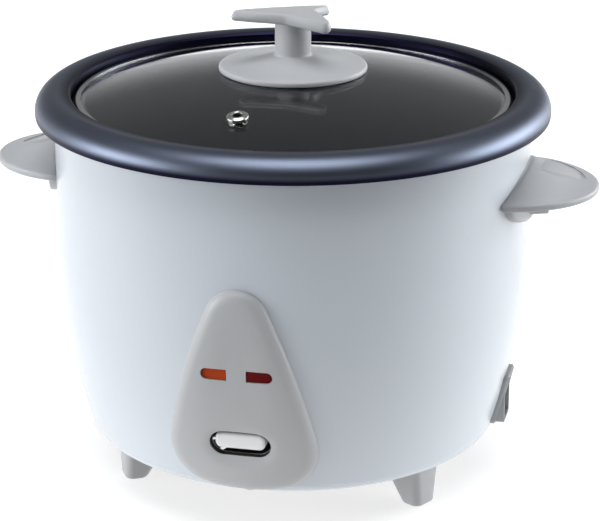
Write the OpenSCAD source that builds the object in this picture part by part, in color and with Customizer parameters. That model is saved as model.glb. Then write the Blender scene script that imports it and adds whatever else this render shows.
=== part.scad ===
// Drum rice cooker: a painted steel drum with a removable pot, a glass lid, a magnetic
// thermostat and a press-down cook key. Millimetres, +Z up, the floor at Z = 0, the middle of
// the drum at X = Y = 0, the control panel towards -Y and the handles along X.

/* [Drum] */
// Outside radius of the straight upper part of the drum
drum_r = 125; // [105:0.5:150]
// Height of the drum's top edge above the floor
drum_top = 207; // [172.5:0.5:250]
// Height of the drum's underside above the floor
drum_bottom = 26; // [22:0.5:32]
// Height where the straight side turns into the long inward curve
curve_top = 132.5; // [115:0.5:160]
// Radius of the long inward curve
curve_r = 353; // [320:1:425]
// Radius of the drum's bottom corner
bottom_corner_r = 8; // [6:0.5:10]
// Radius of the rolled top edge
top_corner_r = 3; // [2:0.5:4]
// Sheet thickness of the drum
drum_wall = 1; // [0.6:0.1:1.3]
// Width of the drum's top edge, from its outside to the opening for the pot
top_flange_w = 5.6; // [5:0.1:6.5]
// Width of the flat flange under the drum, inside the bottom corner
bottom_flange_w = 6.6; // [5.5:0.1:8]

/* [Bottom cover and feet] */
// Sheet thickness of the bottom cover
cover_wall = 1; // [0.6:0.1:1.3]
// Distance from the cover's edge to the flat part of the drum's underside
cover_inset = 1.6; // [1:0.1:2.5]
// Number of slots in each of the three fans of vent slots
vent_slots = 7; // [4:1:8]
// Width of a vent slot
vent_slot_w = 4; // [3:0.5:4.5]
// Radius where the vent slots begin
vent_in_r = 34; // [30:1:40]
// Radius where the vent slots end
vent_out_r = 66; // [60:1:68]
// Distance of each foot's screw from the drum's axis
foot_place_r = 89; // [84:0.5:92]
// Distance from a foot's screw to its upright outer face
foot_toe = 7.5; // [7:0.5:8.5]
// Radial depth of a foot at its top
foot_top_d = 28; // [20:0.5:28.5]
// Width of a foot at its top
foot_top_w = 21; // [18:0.5:24]
// Radial depth of a foot at the floor
foot_base_d = 12; // [9:0.5:13]
// Width of a foot at the floor
foot_base_w = 15.5; // [12:0.5:18]
// Thread radius of the foot screws
foot_screw_r = 2; // [1.5:0.1:2.5]
// Length of a foot screw below the cover's upper face
foot_screw_l = 16; // [12:0.5:18]
// Thread radius of the cover screws
cover_screw_r = 1.5; // [1.2:0.1:1.8]
// Length of a cover screw above the cover's underside
cover_screw_l = 6; // [4:0.5:8]

/* [Pot] */
// Sheet thickness of the pot
pot_wall = 1.5; // [1:0.1:1.9]
// Running gap between the pot's neck and the liner
pot_gap = 0.7; // [0.5:0.1:1.2]
// Width of the ledge that the lid sits on
ledge_w = 6.9; // [6:0.1:8]
// Depth of the lid ledge below the drum's top edge
ledge_drop = 5.5; // [4.5:0.1:6.5]
// Height of the pot's rim above the drum's top edge
rim_rise = 3.8; // [3.2:0.1:5]
// Radius of the rolled outer part of the rim
rim_roll_r = 10.4; // [8.7:0.1:12.4]
// How far the rim stands out beyond the drum
rim_overhang = 10; // [8.5:0.5:12]
// Height of the rim's lower edge below the middle of its roll
rim_skirt = 2.2; // [1:0.1:3]
// Radius of the pot's bottom corner
pot_corner_r = 24; // [18:1:28]

/* [Liner] */
// Sheet thickness of the liner
liner_wall = 0.6; // [0.5:0.1:0.8]
// Gap between the liner and the drum's opening
liner_fit = 0.2; // [0.1:0.05:0.4]
// Gap between the pot's side and the liner
liner_gap = 2.5; // [2:0.1:4]
// Room between the drum's underside and the liner's floor
under_room = 39; // [37:0.5:44]
// Radius of the liner's bottom corner
liner_corner_r = 18; // [15:0.5:22]
// Depth of the liner's wide neck below the drum's top edge
liner_neck_h = 17; // [14:0.5:20]
// Height of the cone between the liner's neck and its side
liner_cone_h = 6; // [5:0.5:8]
// Outer radius of the liner's flange beyond the drum's opening
liner_flange_w = 2.4; // [1.6:0.1:2.5]

/* [Heater] */
// Height of the heater's top face above the liner's floor
heater_rise = 15; // [14:0.5:18]
// Thickness of the heater plate
heater_thk = 6; // [5:0.5:7]
// Distance from the heater's edge to the flat part of the pot's underside
heater_inset = 3; // [2:0.5:5]
// Radius of the heating element's ring
element_ring_r = 62; // [55:1:63]
// Radius of the heating element's tube
element_r = 3.5; // [3:0.1:3.7]
// Depth of the heater's ridge round the element
ridge_h = 4; // [3.5:0.5:5]
// Width of the ridge round the element
ridge_w = 11; // [9:0.5:13]
// Angle of the gap between the element's ends
element_gap = 30; // [26:1:40]
// Radius of the element's terminal pins
terminal_r = 1.5; // [1.2:0.1:1.8]
// Length of an element terminal below the liner's floor
terminal_l = 11; // [8:0.5:13]
// Radius of the hole in the heater for the thermostat
heater_hole_r = 21.5; // [20:0.5:24]
// Outer radius of a heater leg
leg_r = 4; // [3.5:0.1:4.5]
// Thread radius of the heater screws
heater_screw_r = 2; // [1.5:0.1:2.2]

/* [Thermostat] */
// Outer radius of the sprung cap
cap_r = 19.5; // [18.8:0.1:19.8]
// Sheet thickness of the sprung cap
cap_wall = 1.2; // [0.8:0.1:1.3]
// Height of the sprung cap
cap_h = 12; // [10:0.5:13]
// Radius of the thermal ferrite under the cap
ferrite_r = 12; // [10:0.5:12.5]
// Thickness of the thermal ferrite
ferrite_h = 7.9; // [6:0.1:9]
// Outer radius of the fixed sleeve
sleeve_r = 17.5; // [16.5:0.1:17.7]
// Sheet thickness of the fixed sleeve
sleeve_wall = 1; // [0.8:0.1:1.2]
// Height of the sleeve above the liner's underside
sleeve_rise = 9; // [7:0.5:10]
// Depth of the sleeve below the liner's underside
sleeve_drop = 5; // [4:0.5:6]
// Outer radius of the sleeve's flange
sleeve_flange_r = 27; // [24:0.5:28]
// Thickness of the sleeve's flange
sleeve_flange_t = 1.2; // [1:0.1:1.5]
// Radius of the moving magnet
magnet_r = 10; // [8:0.5:11.5]
// Air gap left under the ferrite when the magnet is up
magnet_air = 0.3; // [0.3:0.05:0.6]
// Radius of the magnet's rod
rod_r = 2.5; // [2:0.1:3]
// Running clearance of a sliding rod in its hole
running_gap = 0.06; // [0.04:0.01:0.1]
// Wire radius of the cap's spring
cap_spring_wire_r = 0.7; // [0.5:0.05:0.8]
// Coil radius of the cap's spring
cap_spring_r = 14.4; // [13.8:0.1:15]
// Turns of the cap's spring
cap_spring_turns = 5; // [4:0.5:7]
// Wire radius of the magnet's spring
magnet_spring_wire_r = 0.4; // [0.3:0.05:0.5]
// Coil radius of the magnet's spring
magnet_spring_r = 3.7; // [3.5:0.1:4.2]
// Turns of the magnet's spring
magnet_spring_turns = 7; // [5:0.5:9]

/* [Cook lever] */
// Distance of the lever's pivot in front of the drum's axis
pivot_y = 55; // [52:0.5:58]
// Depth of the pivot below the liner's underside
pivot_drop = 15; // [14:0.5:18]
// Angle through which the lever turns
lever_turn = 3; // [2:0.1:3]
// Width of the lever's strip
lever_w = 10; // [8:0.5:12]
// Thickness of the lever's strip
lever_t = 2.4; // [2:0.1:2.8]
// Radius of the lever's hub
hub_r = 4; // [3.5:0.1:4.3]
// Length of the lever's hub
hub_l = 13; // [11:0.5:14]
// Radius of the lever's pivot pin
pin_r = 1.5; // [1.2:0.1:1.8]
// Gap between the hub and each ear of the bracket
ear_gap = 0.5; // [0.3:0.1:0.8]
// Sheet thickness of the lever bracket
bracket_t = 1.2; // [1:0.1:1.5]
// Gap between the lever's fork and the collars on the rod
fork_gap = 0.3; // [0.3:0.05:0.5]
// Radius of the collars on the rod
collar_r = 5; // [4.8:0.1:5.6]
// Distance of the switch plunger from the lever's pivot
plunger_arm = 16; // [15:0.5:18]
// Radius of the switch plunger
plunger_r = 1.5; // [1.2:0.1:1.8]

/* [Cook key] */
// Height of the key's middle above the drum's underside
key_rise = 34; // [33:0.5:36]
// Width of the key
key_w = 25.8; // [22:0.2:27]
// Height of the key
key_h = 8.8; // [8:0.2:9.4]
// How far the key's face stands out from the drum
key_proud = 4; // [3:0.5:5.5]
// Width of the slot that the key travels in
slot_w = 31.6; // [29:0.2:34]
// Height of the slot that the key travels in
slot_h = 14; // [13.4:0.2:16]

/* [Control panel] */
// How far the panel stands out from the drum
panel_proud = 5; // [4:0.5:6]
// Wall thickness of the panel
panel_wall = 2.5; // [2:0.1:3]
// Height of the panel's tip above the drum's underside
panel_tip = 115.2; // [108:0.2:120]
// Radius of the panel's rounded tip
panel_tip_r = 16.5; // [14:0.5:19]
// Radius of the panel's lower corners
panel_corner_r = 23; // [20:0.5:26]
// Half of the panel's greatest width
panel_half_w = 38.3; // [36:0.1:42]
// Height of the panel's widest place above the drum's underside
panel_wide_z = 27.5; // [26:0.5:30]
// Radius of the panel's long sides
panel_side_r = 330; // [250:5:500]
// Radius of the panel's lower edge
panel_base_r = 110; // [95:1:140]
// Height of the lenses' middle above the drum's underside
lens_rise = 71; // [68:0.5:76]
// Length of a lens
lens_l = 13; // [11:0.2:14]
// Height of a lens
lens_h = 6; // [5:0.2:7]
// Gap between the two lenses
lens_space = 10.2; // [8:0.2:12]
// Clearance round a lens
lens_fit = 0.1; // [0.05:0.05:0.2]
// Height of the shallow channel round the lenses
channel_h = 12; // [10:0.5:13]
// Depth of the shallow channel round the lenses
channel_d = 1; // [0.6:0.1:1.2]
// Radius of an indicator lamp
lamp_r = 2.5; // [2:0.1:2.7]
// Length of an indicator lamp
lamp_l = 15; // [13:0.5:17]
// Thread radius of the panel screws
panel_screw_r = 1.5; // [1.2:0.1:1.8]

/* [Handles] */
// Depth of the handles' upper face below the drum's top edge
handle_drop = 40; // [38:0.5:48]
// How far a handle stands out from the drum
handle_out = 36.8; // [30:0.2:44]
// Half of a handle's width
handle_half_w = 45.7; // [40:0.1:50]
// Distance from the drum's side inwards to the middle of the handle's curve
handle_root = 14.5; // [12:0.5:18]
// Thickness of a handle's shelf
handle_t = 4.2; // [3.5:0.1:5]
// Thickness of the handle's flange against the drum
handle_flange_t = 4; // [3.4:0.1:5]
// Depth of the flange below the shelf
handle_flange_h = 13.5; // [12:0.5:16]
// Half of the flange's width
handle_flange_w = 40; // [36:0.5:42]
// Height of the handle's root above its top
handle_crest_h = 11.5; // [8:0.5:14]
// Half width of the root above the handle's top
handle_crest_w = 43; // [38:0.5:44]
// Distance of each handle screw from the middle of the handle
handle_screw_y = 10; // [8:0.5:14]
// Thread radius of the handle screws
handle_screw_r = 2; // [1.6:0.1:2.4]
// Length of a handle screw outside the drum's inner face
handle_screw_l = 13; // [10:0.5:14]

/* [Lid] */
// Gap between the lid's band and the pot's neck
lid_gap = 2.3; // [1.6:0.1:3]
// Sheet thickness of the lid's band
band_wall = 0.5; // [0.4:0.05:0.6]
// Height of the lid's band above the ledge
band_h = 4.6; // [4.4:0.1:5.6]
// Width of the band's upper lip
band_lip_w = 3; // [2.6:0.1:3.6]
// Width of the band's lower lip
band_base_w = 6; // [5.4:0.1:6.4]
// Depth of the band's skirt inside the pot
skirt_h = 5; // [3:0.5:8]
// Thickness of the glass
glass_t = 3.6; // [3:0.1:4]
// Radius of the glass dome
dome_r = 402; // [380:1:480]
// Width of the filler between the band and the glass
seal_w = 0.6; // [0.4:0.1:0.8]
// Distance of the steam vent from the lid's axis
vent_place_r = 79; // [70:0.5:85]
// Direction of the steam vent, round from +X
vent_turn = -97.5; // [-180:0.5:180]
// Radius of the steam vent's upper lip
eyelet_lip_r = 5.6; // [5:0.1:6.5]
// Height of the steam vent above the glass
eyelet_h = 2.8; // [2:0.1:4]
// Radius of the steam vent's hole
eyelet_bore_r = 2; // [1.5:0.1:2.5]
// Wall thickness of the steam vent's barrel
eyelet_wall = 1.5; // [1:0.1:1.8]

/* [Knob] */
// Radius of the knob's disc
disc_r = 38.8; // [33:0.1:46]
// Thickness of the disc at its edge
disc_t = 3; // [2.4:0.1:3.6]
// Height of the disc's sweep up to the stem
disc_sweep = 5; // [4:0.1:7]
// Radius of the knob's stem
stem_r = 9.4; // [8:0.1:11]
// Height of the stem above the disc's edge
stem_h = 23; // [19:0.5:28]
// Angle of the grip round from the handles' line
grip_turn = 13.6; // [0:0.2:45]
// Distance from the stem's axis to the grip's pointed end
grip_tip = 32; // [27:0.5:38]
// Distance from the stem's axis to the grip's two prongs
grip_prong = 19; // [16:0.5:22]
// Half of the distance between the two prongs' middles
grip_spread = 15.5; // [13.5:0.5:18]
// Radius of the grip's pointed end
grip_tip_r = 2.8; // [2.4:0.1:3.4]
// Radius of the ends of the prongs
grip_prong_r = 3.2; // [2.8:0.1:3.8]
// Half of the grip's width above the stem
grip_waist = 10.5; // [10:0.5:12]
// Distance from the stem's axis to the bottom of the notch
notch_x = 13.5; // [12:0.5:15]
// Thickness of the grip
grip_t = 5.5; // [5:0.1:7]
// Radius of the arch along the grip's upper face
arch_r = 250; // [200:5:500]
// Thread radius of the knob's screw
knob_screw_r = 2.5; // [2:0.1:3]
// Length of the knob's screw above the glass
knob_screw_l = 12; // [10:0.5:16]

/* [Inlet] */
// Height of the inlet's middle above the drum's underside
inlet_rise = 20.5; // [20:0.5:26]
// Width of the inlet's bezel
bezel_w = 21; // [20.5:0.5:26]
// Height of the inlet's bezel
bezel_h = 28.5; // [28.5:0.5:32]
// How far the bezel stands out from the drum
bezel_proud = 3; // [2.5:0.5:4]
// Radius of the bezel's corners
bezel_corner_r = 3; // [2:0.5:4]
// Width of the socket's cavity
socket_w = 16.4; // [15:0.2:17]
// Height of the socket's cavity
socket_h = 24; // [22:0.2:24.4]
// Wall thickness round the socket's cavity
socket_wall = 1.2; // [1:0.1:1.8]
// Depth of the socket's floor inside the drum's straight side
socket_depth = 26; // [24:0.5:28]
// Thickness of the socket's floor
socket_floor = 3; // [2:0.5:4]
// Distance of each outer blade from the middle of the socket
blade_pitch = 7; // [6:0.5:7.5]
// Sideways offset of the middle blade
earth_offset = 4; // [3:0.5:5]
// Length of a blade in front of the socket's floor
blade_l = 9; // [7:0.5:10]

/* [Hidden] */
$fn = 96;
nudge = 0.01;
far = 400;
front = -90;
thread_gap = 0.02;
head_gap = 0.06;
hull_fn = 32;
key_gap = 0.1;
vent_fans = 3;
fan_step = 360 / vent_fans;
side = [-1, 1];

// Heights
cover_bottom = drum_bottom - cover_wall;
cover_top = drum_bottom;
liner_floor = drum_bottom + under_room;
liner_inside = liner_floor + liner_wall;
heater_top = liner_inside + heater_rise - liner_wall;
plate_bottom = heater_top - heater_thk;
ridge_bottom = plate_bottom - ridge_h;
ledge_z = drum_top - ledge_drop;
rim_z = drum_top + rim_rise;
roll_z = rim_z - rim_roll_r;
neck_bottom_z = drum_top - liner_neck_h;
cone_bottom_z = neck_bottom_z - liner_cone_h;
handle_top = drum_top - handle_drop;
handle_bottom = handle_top - handle_t;
handle_screw_z = handle_bottom - handle_flange_h / 2;

// Radii, from the drum's side inwards
opening_r = drum_r - top_flange_w;
liner_neck_r = opening_r - liner_fit;
neck_out_r = liner_neck_r - liner_wall - pot_gap;
neck_in_r = neck_out_r - pot_wall;
pot_in_r = neck_in_r - ledge_w;
pot_side_r = pot_in_r + pot_wall;
liner_in_r = pot_side_r + liner_gap;
liner_side_r = liner_in_r + liner_wall;
rim_r = drum_r + rim_overhang;
roll_x = rim_r - rim_roll_r;
heater_r = pot_side_r - pot_corner_r - heater_inset;
band_r = neck_in_r - lid_gap;
liner_flat_r = liner_side_r - liner_corner_r;

// The drum's section: a straight side, a long arc and a small corner that touches it
arc_x = drum_r - curve_r;
corner_z = drum_bottom + bottom_corner_r;
corner_x = arc_x + sqrt(pow(curve_r - bottom_corner_r, 2) - pow(curve_top - corner_z, 2));
corner_slope = asin((curve_top - corner_z) / (curve_r - bottom_corner_r));
function drum_radius(z) =
    z >= curve_top ? drum_r : arc_x + sqrt(pow(curve_r, 2) - pow(curve_top - z, 2));
function drum_slope(z) = z >= curve_top ? 0 : asin((curve_top - z) / curve_r);
flange_in_r = corner_x - bottom_flange_w;
cover_r = corner_x - cover_inset;
cover_screw_place = (flange_in_r + cover_r) / 2;

// Thermostat
cap_bottom = heater_top - cap_h;
ferrite_top = heater_top - cap_wall;
ferrite_bottom = ferrite_top - ferrite_h;
sleeve_bottom = liner_floor - sleeve_drop;
sleeve_top = liner_floor + sleeve_rise;
sleeve_floor = sleeve_bottom + sleeve_wall;
magnet_rise = pivot_y * sin(lever_turn);
magnet_top = ferrite_bottom - magnet_air - magnet_rise;
liner_hole_r = sleeve_r + 0.5;

// Lever
pivot_z = liner_floor - pivot_drop;
inner_top = pivot_z - hub_r + 0.8;
inner_bottom = inner_top - lever_t;
outer_bottom = pivot_z + 2;
outer_top = outer_bottom + lever_t;
jog_y = -pivot_y - hub_r + 1;
collar_t = 1.6;
fork_tip = 7;
fork_slot_w = 2 * rod_r + 1.2;
upper_collar_z = inner_top + fork_gap;
lower_collar_z = inner_bottom - fork_gap - collar_t;
rod_bottom = lower_collar_z - 4;
ear_x = hub_l / 2 + ear_gap;
ear_drop = hub_r + 0.5;
switch_w = 12;
switch_l = 16;
switch_bottom = pivot_z + 4;
switch_y = -pivot_y + plunger_arm;
plunger_bottom = inner_top + 0.4;
plunger_top = switch_bottom + 2;
plunger_room = 2.5;
bracket_front = -pivot_y - 6;
bracket_back = switch_y + switch_l / 2 + 2;

// Cook key
key_z = drum_bottom + key_rise;
key_face = drum_radius(key_z) + key_proud;
key_back = drum_radius(key_z) - 5;
key_corner = 2.6;
slot_z = key_z + key_h / 2 + 0.6 - slot_h / 2;
tab_y = key_back - 2;
tab_top = key_z - 1.5;
stem_half_w = lever_w / 2 + 2;
stem_back = tab_y - lever_t - 1.6;
stem_low = outer_top + 0.4;

// Control panel
tip_z = drum_bottom + panel_tip - panel_tip_r;
wide_x = panel_half_w - panel_corner_r;
wide_z = drum_bottom + panel_wide_z;
base_z = wide_z + sqrt(pow(panel_base_r - panel_corner_r, 2) - pow(wide_x, 2));
lens_z = drum_bottom + lens_rise;
lens_x = (lens_space + lens_l) / 2;
channel_w = lens_space + 2 * lens_l + 5;
window_h = lens_h + 3;
window_w = lens_space + 2 * lens_l + 2;
lens_lip = 1;
holder_top = lens_z - 5;
holder_h = 5;
lamp_place = drum_radius(lens_z) - drum_wall - 5;
panel_screws = [[0, tip_z], [-22, wide_z - 11], [22, wide_z - 11]];
boss_r = panel_screw_r + 2;

// Lid
glass_edge_r = band_r - band_wall - seal_w;
band_top = ledge_z + band_h;
lip_in_r = band_r - band_lip_w;
dome_edge_z = band_top - band_wall;
dome_z = dome_edge_z - sqrt(pow(dome_r, 2) - pow(lip_in_r, 2));
dome_top = dome_z + dome_r;
vent_tilt = asin(vent_place_r / dome_r);
disc_bottom = dome_z + sqrt(pow(dome_r, 2) - pow(disc_r, 2)) + 0.2;
disc_edge_top = disc_bottom + disc_t;
stem_top = disc_edge_top + stem_h;
spigot_r = 5;
spigot_h = 3;
grip_bottom = stem_top;
grip_top = grip_bottom + grip_t;

// Inlet
inlet_z = drum_bottom + inlet_rise;
socket_x = drum_r - socket_depth;
blade_t = 2;
blade_w = 4;
tail_l = 7;
blades = [[0, blade_pitch], [earth_offset, 0], [0, -blade_pitch]];

// Internal leads
lead_r = 1.1;
lead_reference = [0.57, -0.57, 0.6];
lead_z = liner_floor - 8;
block_size = [24, 12, 10];
block_at = [40, 38];
fuse_r = 3;
fuse_l = 12;
element_end = [element_ring_r * cos(element_gap / 2), element_ring_r * sin(element_gap / 2)];
fuse_x = element_end[0] + 10;
tail_x = socket_x - socket_floor - tail_l;

// ---------- shared shapes ----------

// The solid inside the drum's skin, moved inwards by inset
module drum_solid(inset) {
    tangent_x = arc_x + (curve_r - inset) * cos(corner_slope);
    tangent_z = curve_top - (curve_r - inset) * sin(corner_slope);
    rotate_extrude() {
        translate([0, curve_top - nudge])
            square([drum_r - inset, drum_top - top_corner_r - curve_top + nudge]);
        top_edge(inset);
        intersection() {
            translate([arc_x, curve_top])
                circle(curve_r - inset, $fn = 360);
            translate([0, tangent_z])
                square([far, curve_top - tangent_z]);
        }
        intersection() {
            translate([corner_x, corner_z])
                circle(bottom_corner_r - inset);
            translate([corner_x, 0])
                square([far, tangent_z]);
        }
        polygon([
            [0, drum_bottom + inset], [corner_x, drum_bottom + inset], [corner_x, corner_z],
            [tangent_x, tangent_z], [0, tangent_z]
        ]);
    }
}

// The rolled top edge of the drum's section
module top_edge(inset) {
    roll = top_corner_r - inset;
    translate([0, drum_top - top_corner_r - nudge])
        square([drum_r - top_corner_r, top_corner_r - inset + nudge]);
    if (roll > 0)
        intersection() {
            translate([drum_r - top_corner_r, drum_top - top_corner_r])
                circle(roll);
            translate([drum_r - top_corner_r - nudge, drum_top - top_corner_r - nudge])
                square(far);
        }
}

// The space between two surfaces that follow the drum, at two distances outside it
module drum_layer(low, high) {
    difference() {
        drum_solid(-high);
        drum_solid(-low);
    }
}

// Places children on the drum's skin with +Z pointing straight out of it
module on_drum(turn, z) {
    rotate([0, 0, turn])
        translate([drum_radius(z), 0, z])
            rotate([0, 90 + drum_slope(z), 0])
                children();
}

// Extrudes an outline drawn in X and Z through the front of the drum
module through_front() {
    rotate([90, 0, 0])
        linear_extrude(far)
            children();
}

// Extrudes an outline drawn in Y and Z along +X
module through_side() {
    rotate([90, 0, 90])
        linear_extrude(far)
            children();
}

module tube(outer, inner, h) {
    difference() {
        cylinder(r = outer, h = h);
        translate([0, 0, -nudge])
            cylinder(r = inner, h = h + 2 * nudge);
    }
}

// A screw with its head above Z = 0 and its thread below, with a cross recess
module screw(thread_r, length, head_r, head_h) {
    recess = head_r * 0.34;
    difference() {
        union() {
            cylinder(r = head_r, h = head_h);
            translate([0, 0, -length])
                cylinder(r = thread_r, h = length + nudge);
        }
        for (turn = [0, 90])
            rotate([0, 0, turn])
                translate([-head_r * 0.6, -recess / 2, head_h - recess])
                    cube([head_r * 1.2, recess, head_h]);
    }
}

// A rectangle with four rounded corners, about its middle
module round_rect(w, h, r) {
    square([w - 2 * r, h], center = true);
    square([w, h - 2 * r], center = true);
    for (x = side, y = side)
        translate([x * (w / 2 - r), y * (h / 2 - r)])
            circle(r);
}

// A slot outline with round ends, about its middle
module stadium(w, h) {
    square([w - h, h], center = true);
    for (x = side)
        translate([x * (w - h) / 2, 0])
            circle(h / 2);
}

function arc_points(centre, r, from, to, steps) = [
    for (i = [0 : steps])
        let (a = from + (to - from) * i / steps)
            [centre[0] + r * cos(a), centre[1] + r * sin(a)]
];

// A round tube through rings, each given as its middle and two directions across the tube
module tube_through(rings, r) {
    sides = 8;
    last = len(rings) - 1;
    points = [
        for (ring = rings, k = [0 : sides - 1])
            ring[0] + r * (cos(360 * k / sides) * ring[1] + sin(360 * k / sides) * ring[2])
    ];
    walls = [
        for (i = [0 : last - 1], k = [0 : sides - 1])
            let (next = (k + 1) % sides)
            [i * sides + k, (i + 1) * sides + k, (i + 1) * sides + next, i * sides + next]
    ];
    ends = [
        [for (k = [0 : sides - 1]) k],
        [for (k = [sides - 1 : -1 : 0]) last * sides + k]
    ];
    polyhedron(points, concat(walls, ends), convexity = 10);
}

// A round wire along a helix about Z
module coil_spring(r, wire_r, z0, z1, turns) {
    steps = ceil(turns * 16);
    lift = z1 - z0 - 2 * wire_r;
    pitch = atan2(lift, turns * 2 * PI * r);
    tube_through([
        for (i = [0 : steps])
            let (turn = 360 * turns * i / steps)
            [
                [r * cos(turn), r * sin(turn), z0 + wire_r + lift * i / steps],
                [cos(turn), sin(turn), 0],
                [sin(pitch) * sin(turn), -sin(pitch) * cos(turn), cos(pitch)]
            ]
    ], wire_r);
}

function unit(v) = v / norm(v);

// A round lead along straight stretches whose corners are cut to a bend
module lead(points) {
    bend = 1.6;
    last = len(points) - 1;
    path = concat(
        [points[0]],
        [
            for (i = [1 : 1 : last - 1])
                let (
                    into = unit(points[i] - points[i - 1]),
                    out = unit(points[i + 1] - points[i])
                )
                for (step = [-bend * into, 0.3 * bend * (out - into), bend * out])
                    points[i] + step
        ],
        [points[last]]
    );
    end = len(path) - 1;
    tube_through([
        for (i = [0 : end])
            let (
                along = unit(path[min(i + 1, end)] - path[max(i - 1, 0)]),
                across = unit(cross(lead_reference, along))
            )
            [path[i], across, cross(across, along)]
    ], lead_r);
}

// ---------- drum, cover and feet ----------

module outer_body() {
    color("white")
        difference() {
            drum_solid(0);
            drum_solid(drum_wall);
            translate([0, 0, drum_top - drum_wall - nudge])
                cylinder(r = opening_r, h = far);
            translate([0, 0, drum_bottom - nudge])
                cylinder(r = flange_in_r, h = drum_wall + 2 * nudge);
            through_front() {
                translate([0, lens_z])
                    round_rect(window_w, window_h, 1.5);
                translate([0, slot_z])
                    stadium(slot_w - 0.8, slot_h + 1);
            }
            through_side()
                translate([0, inlet_z])
                    square([socket_w, socket_h] + 2 * [socket_wall, socket_wall], center = true);
            screw_holes(drum_wall + 1);
            cover_screw_places()
                cylinder(r = cover_screw_r + thread_gap, h = 2 * cover_screw_l, center = true);
        }
}

// Holes through the drum for the handle and panel screws
module screw_holes(depth) {
    handle_screw_places()
        cylinder(r = handle_screw_r + thread_gap, h = 2 * depth, center = true);
    panel_screw_places()
        cylinder(r = panel_screw_r + thread_gap, h = 2 * depth, center = true);
}

module cover_screw_places() {
    for (fan = [0 : vent_fans - 1])
        rotate([0, 0, front + fan * fan_step])
            translate([cover_screw_place, 0, cover_bottom])
                children();
}

module bottom_cover() {
    slot_l = vent_out_r - vent_in_r;
    color("silver")
        difference() {
            translate([0, 0, cover_bottom])
                cylinder(r = cover_r, h = cover_wall);
            for (fan = [0 : vent_fans - 1], i = [0 : vent_slots - 1])
                rotate([0, 0, fan * fan_step + front + 60 + (i - (vent_slots - 1) / 2) * 12])
                    translate([(vent_in_r + vent_out_r) / 2, 0, cover_bottom - 1])
                        linear_extrude(cover_wall + 2)
                            stadium(slot_l, vent_slot_w);
            cover_screw_places()
                cylinder(r = cover_screw_r + 0.2, h = 2 * cover_screw_l, center = true);
            foot_places()
                cylinder(r = foot_screw_r + 0.2, h = 2 * cover_top);
        }
}

module foot_places() {
    for (turn = [front - 60, front + 60, front + 180])
        foot_at(turn)
            children();
}

module foot_at(turn) {
    rotate([0, 0, turn])
        translate([foot_place_r, 0, 0])
            children();
}

// A tapered foot whose outer face is upright and whose inner face slopes; +X points away
// from the drum's axis
module foot(turn) {
    heel = foot_toe - foot_top_d;
    color("darkgray")
        foot_at(turn)
            difference() {
                intersection() {
                    rotate([90, 0, 0])
                        linear_extrude(foot_top_w, center = true)
                            polygon([
                                [foot_toe, cover_bottom], [foot_toe - 0.5, 0],
                                [foot_toe - 0.5 - foot_base_d, 0], [heel, cover_bottom]
                            ]);
                    rotate([90, 0, 90])
                        linear_extrude(2 * foot_top_d, center = true)
                            polygon([
                                [foot_top_w / 2, cover_bottom], [foot_base_w / 2, 0],
                                [-foot_base_w / 2, 0], [-foot_top_w / 2, cover_bottom]
                            ]);
                    linear_extrude(cover_bottom)
                        translate([(foot_toe + heel) / 2 - 0.25, 0])
                            round_rect(foot_top_d + 0.5, foot_top_w, 4);
                }
                translate([0, 0, cover_top - foot_screw_l - 1])
                    cylinder(r = foot_screw_r + thread_gap, h = foot_screw_l + 2);
            }
}

module foot_front_left() { foot(front - 60); }

module foot_front_right() { foot(front + 60); }

module foot_rear() { foot(front + 180); }

module foot_screws() {
    color("gainsboro")
        foot_places()
            translate([0, 0, cover_top])
                screw(foot_screw_r, foot_screw_l, 4, 2.4);
}

module cover_screws() {
    color("gainsboro")
        cover_screw_places()
            rotate([180, 0, 0])
                screw(cover_screw_r, cover_screw_l, 3.2, 1);
}

// ---------- handles ----------

// Places children at the screws of both handles, with +Z straight out of the drum
module handle_screw_places() {
    for (x = side)
        handle_screw_pair(x)
            children();
}

module handle_screw_pair(x) {
    for (y = side)
        on_drum((x > 0 ? 0 : 180) + y * asin(handle_screw_y / drum_r), handle_screw_z)
            children();
}

// One ear-shaped handle; x is 1 for the right and -1 for the left
module handle(x) {
    centre_x = drum_r - handle_root;
    reach = handle_root + handle_out;
    tip_edge = 1.2;
    color("darkgray")
        difference() {
            union() {
                translate([0, 0, handle_bottom])
                    linear_extrude(handle_t - tip_edge)
                        ear_outline(x, centre_x, reach, handle_half_w);
                translate([0, 0, handle_top - tip_edge - nudge])
                    linear_extrude(tip_edge + nudge)
                        ear_outline(x, centre_x, reach - tip_edge, handle_half_w - tip_edge);
                intersection() {
                    drum_layer(-nudge, handle_flange_t);
                    rotate([0, 0, x > 0 ? 0 : 180])
                        through_side()
                            polygon(concat(
                                [
                                    for (i = [0 : 24])
                                        let (a = 180 + 180 * i / 24)
                                        [
                                            handle_flange_w * cos(a),
                                            handle_bottom + handle_flange_h * sin(a)
                                        ]
                                ],
                                [
                                    for (i = [0 : 24])
                                        let (u = 1 - i / 12)
                                        [
                                            handle_crest_w * u,
                                            handle_top + handle_crest_h * (1 - u * u) - nudge
                                        ]
                                ]
                            ));
                }
                handle_screw_pair(x)
                    translate([0, 0, 1])
                        cylinder(r = handle_screw_r + 2.4, h = handle_screw_l - 1);
            }
            drum_solid(0);
            handle_screw_pair(x)
                translate([0, 0, -2])
                    cylinder(r = handle_screw_r + thread_gap, h = handle_screw_l + 2);
        }
}

// Half of an ellipse pointing along x from the drum, closed on the drum's side
module ear_outline(x, centre_x, reach, half_w) {
    steps = 40;
    polygon([
        for (i = [0 : steps])
            let (a = -90 + 180 * i / steps)
                [x * (centre_x + reach * cos(a)), half_w * sin(a)]
    ]);
}

module handle_left() { handle(-1); }

module handle_right() { handle(1); }

module handle_screws() {
    color("gainsboro")
        handle_screw_places()
            translate([0, 0, -drum_wall - head_gap])
                rotate([180, 0, 0])
                    screw(handle_screw_r, handle_screw_l, 3.5, 2.2);
}

// ---------- control panel, lenses, lamps and key ----------

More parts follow.
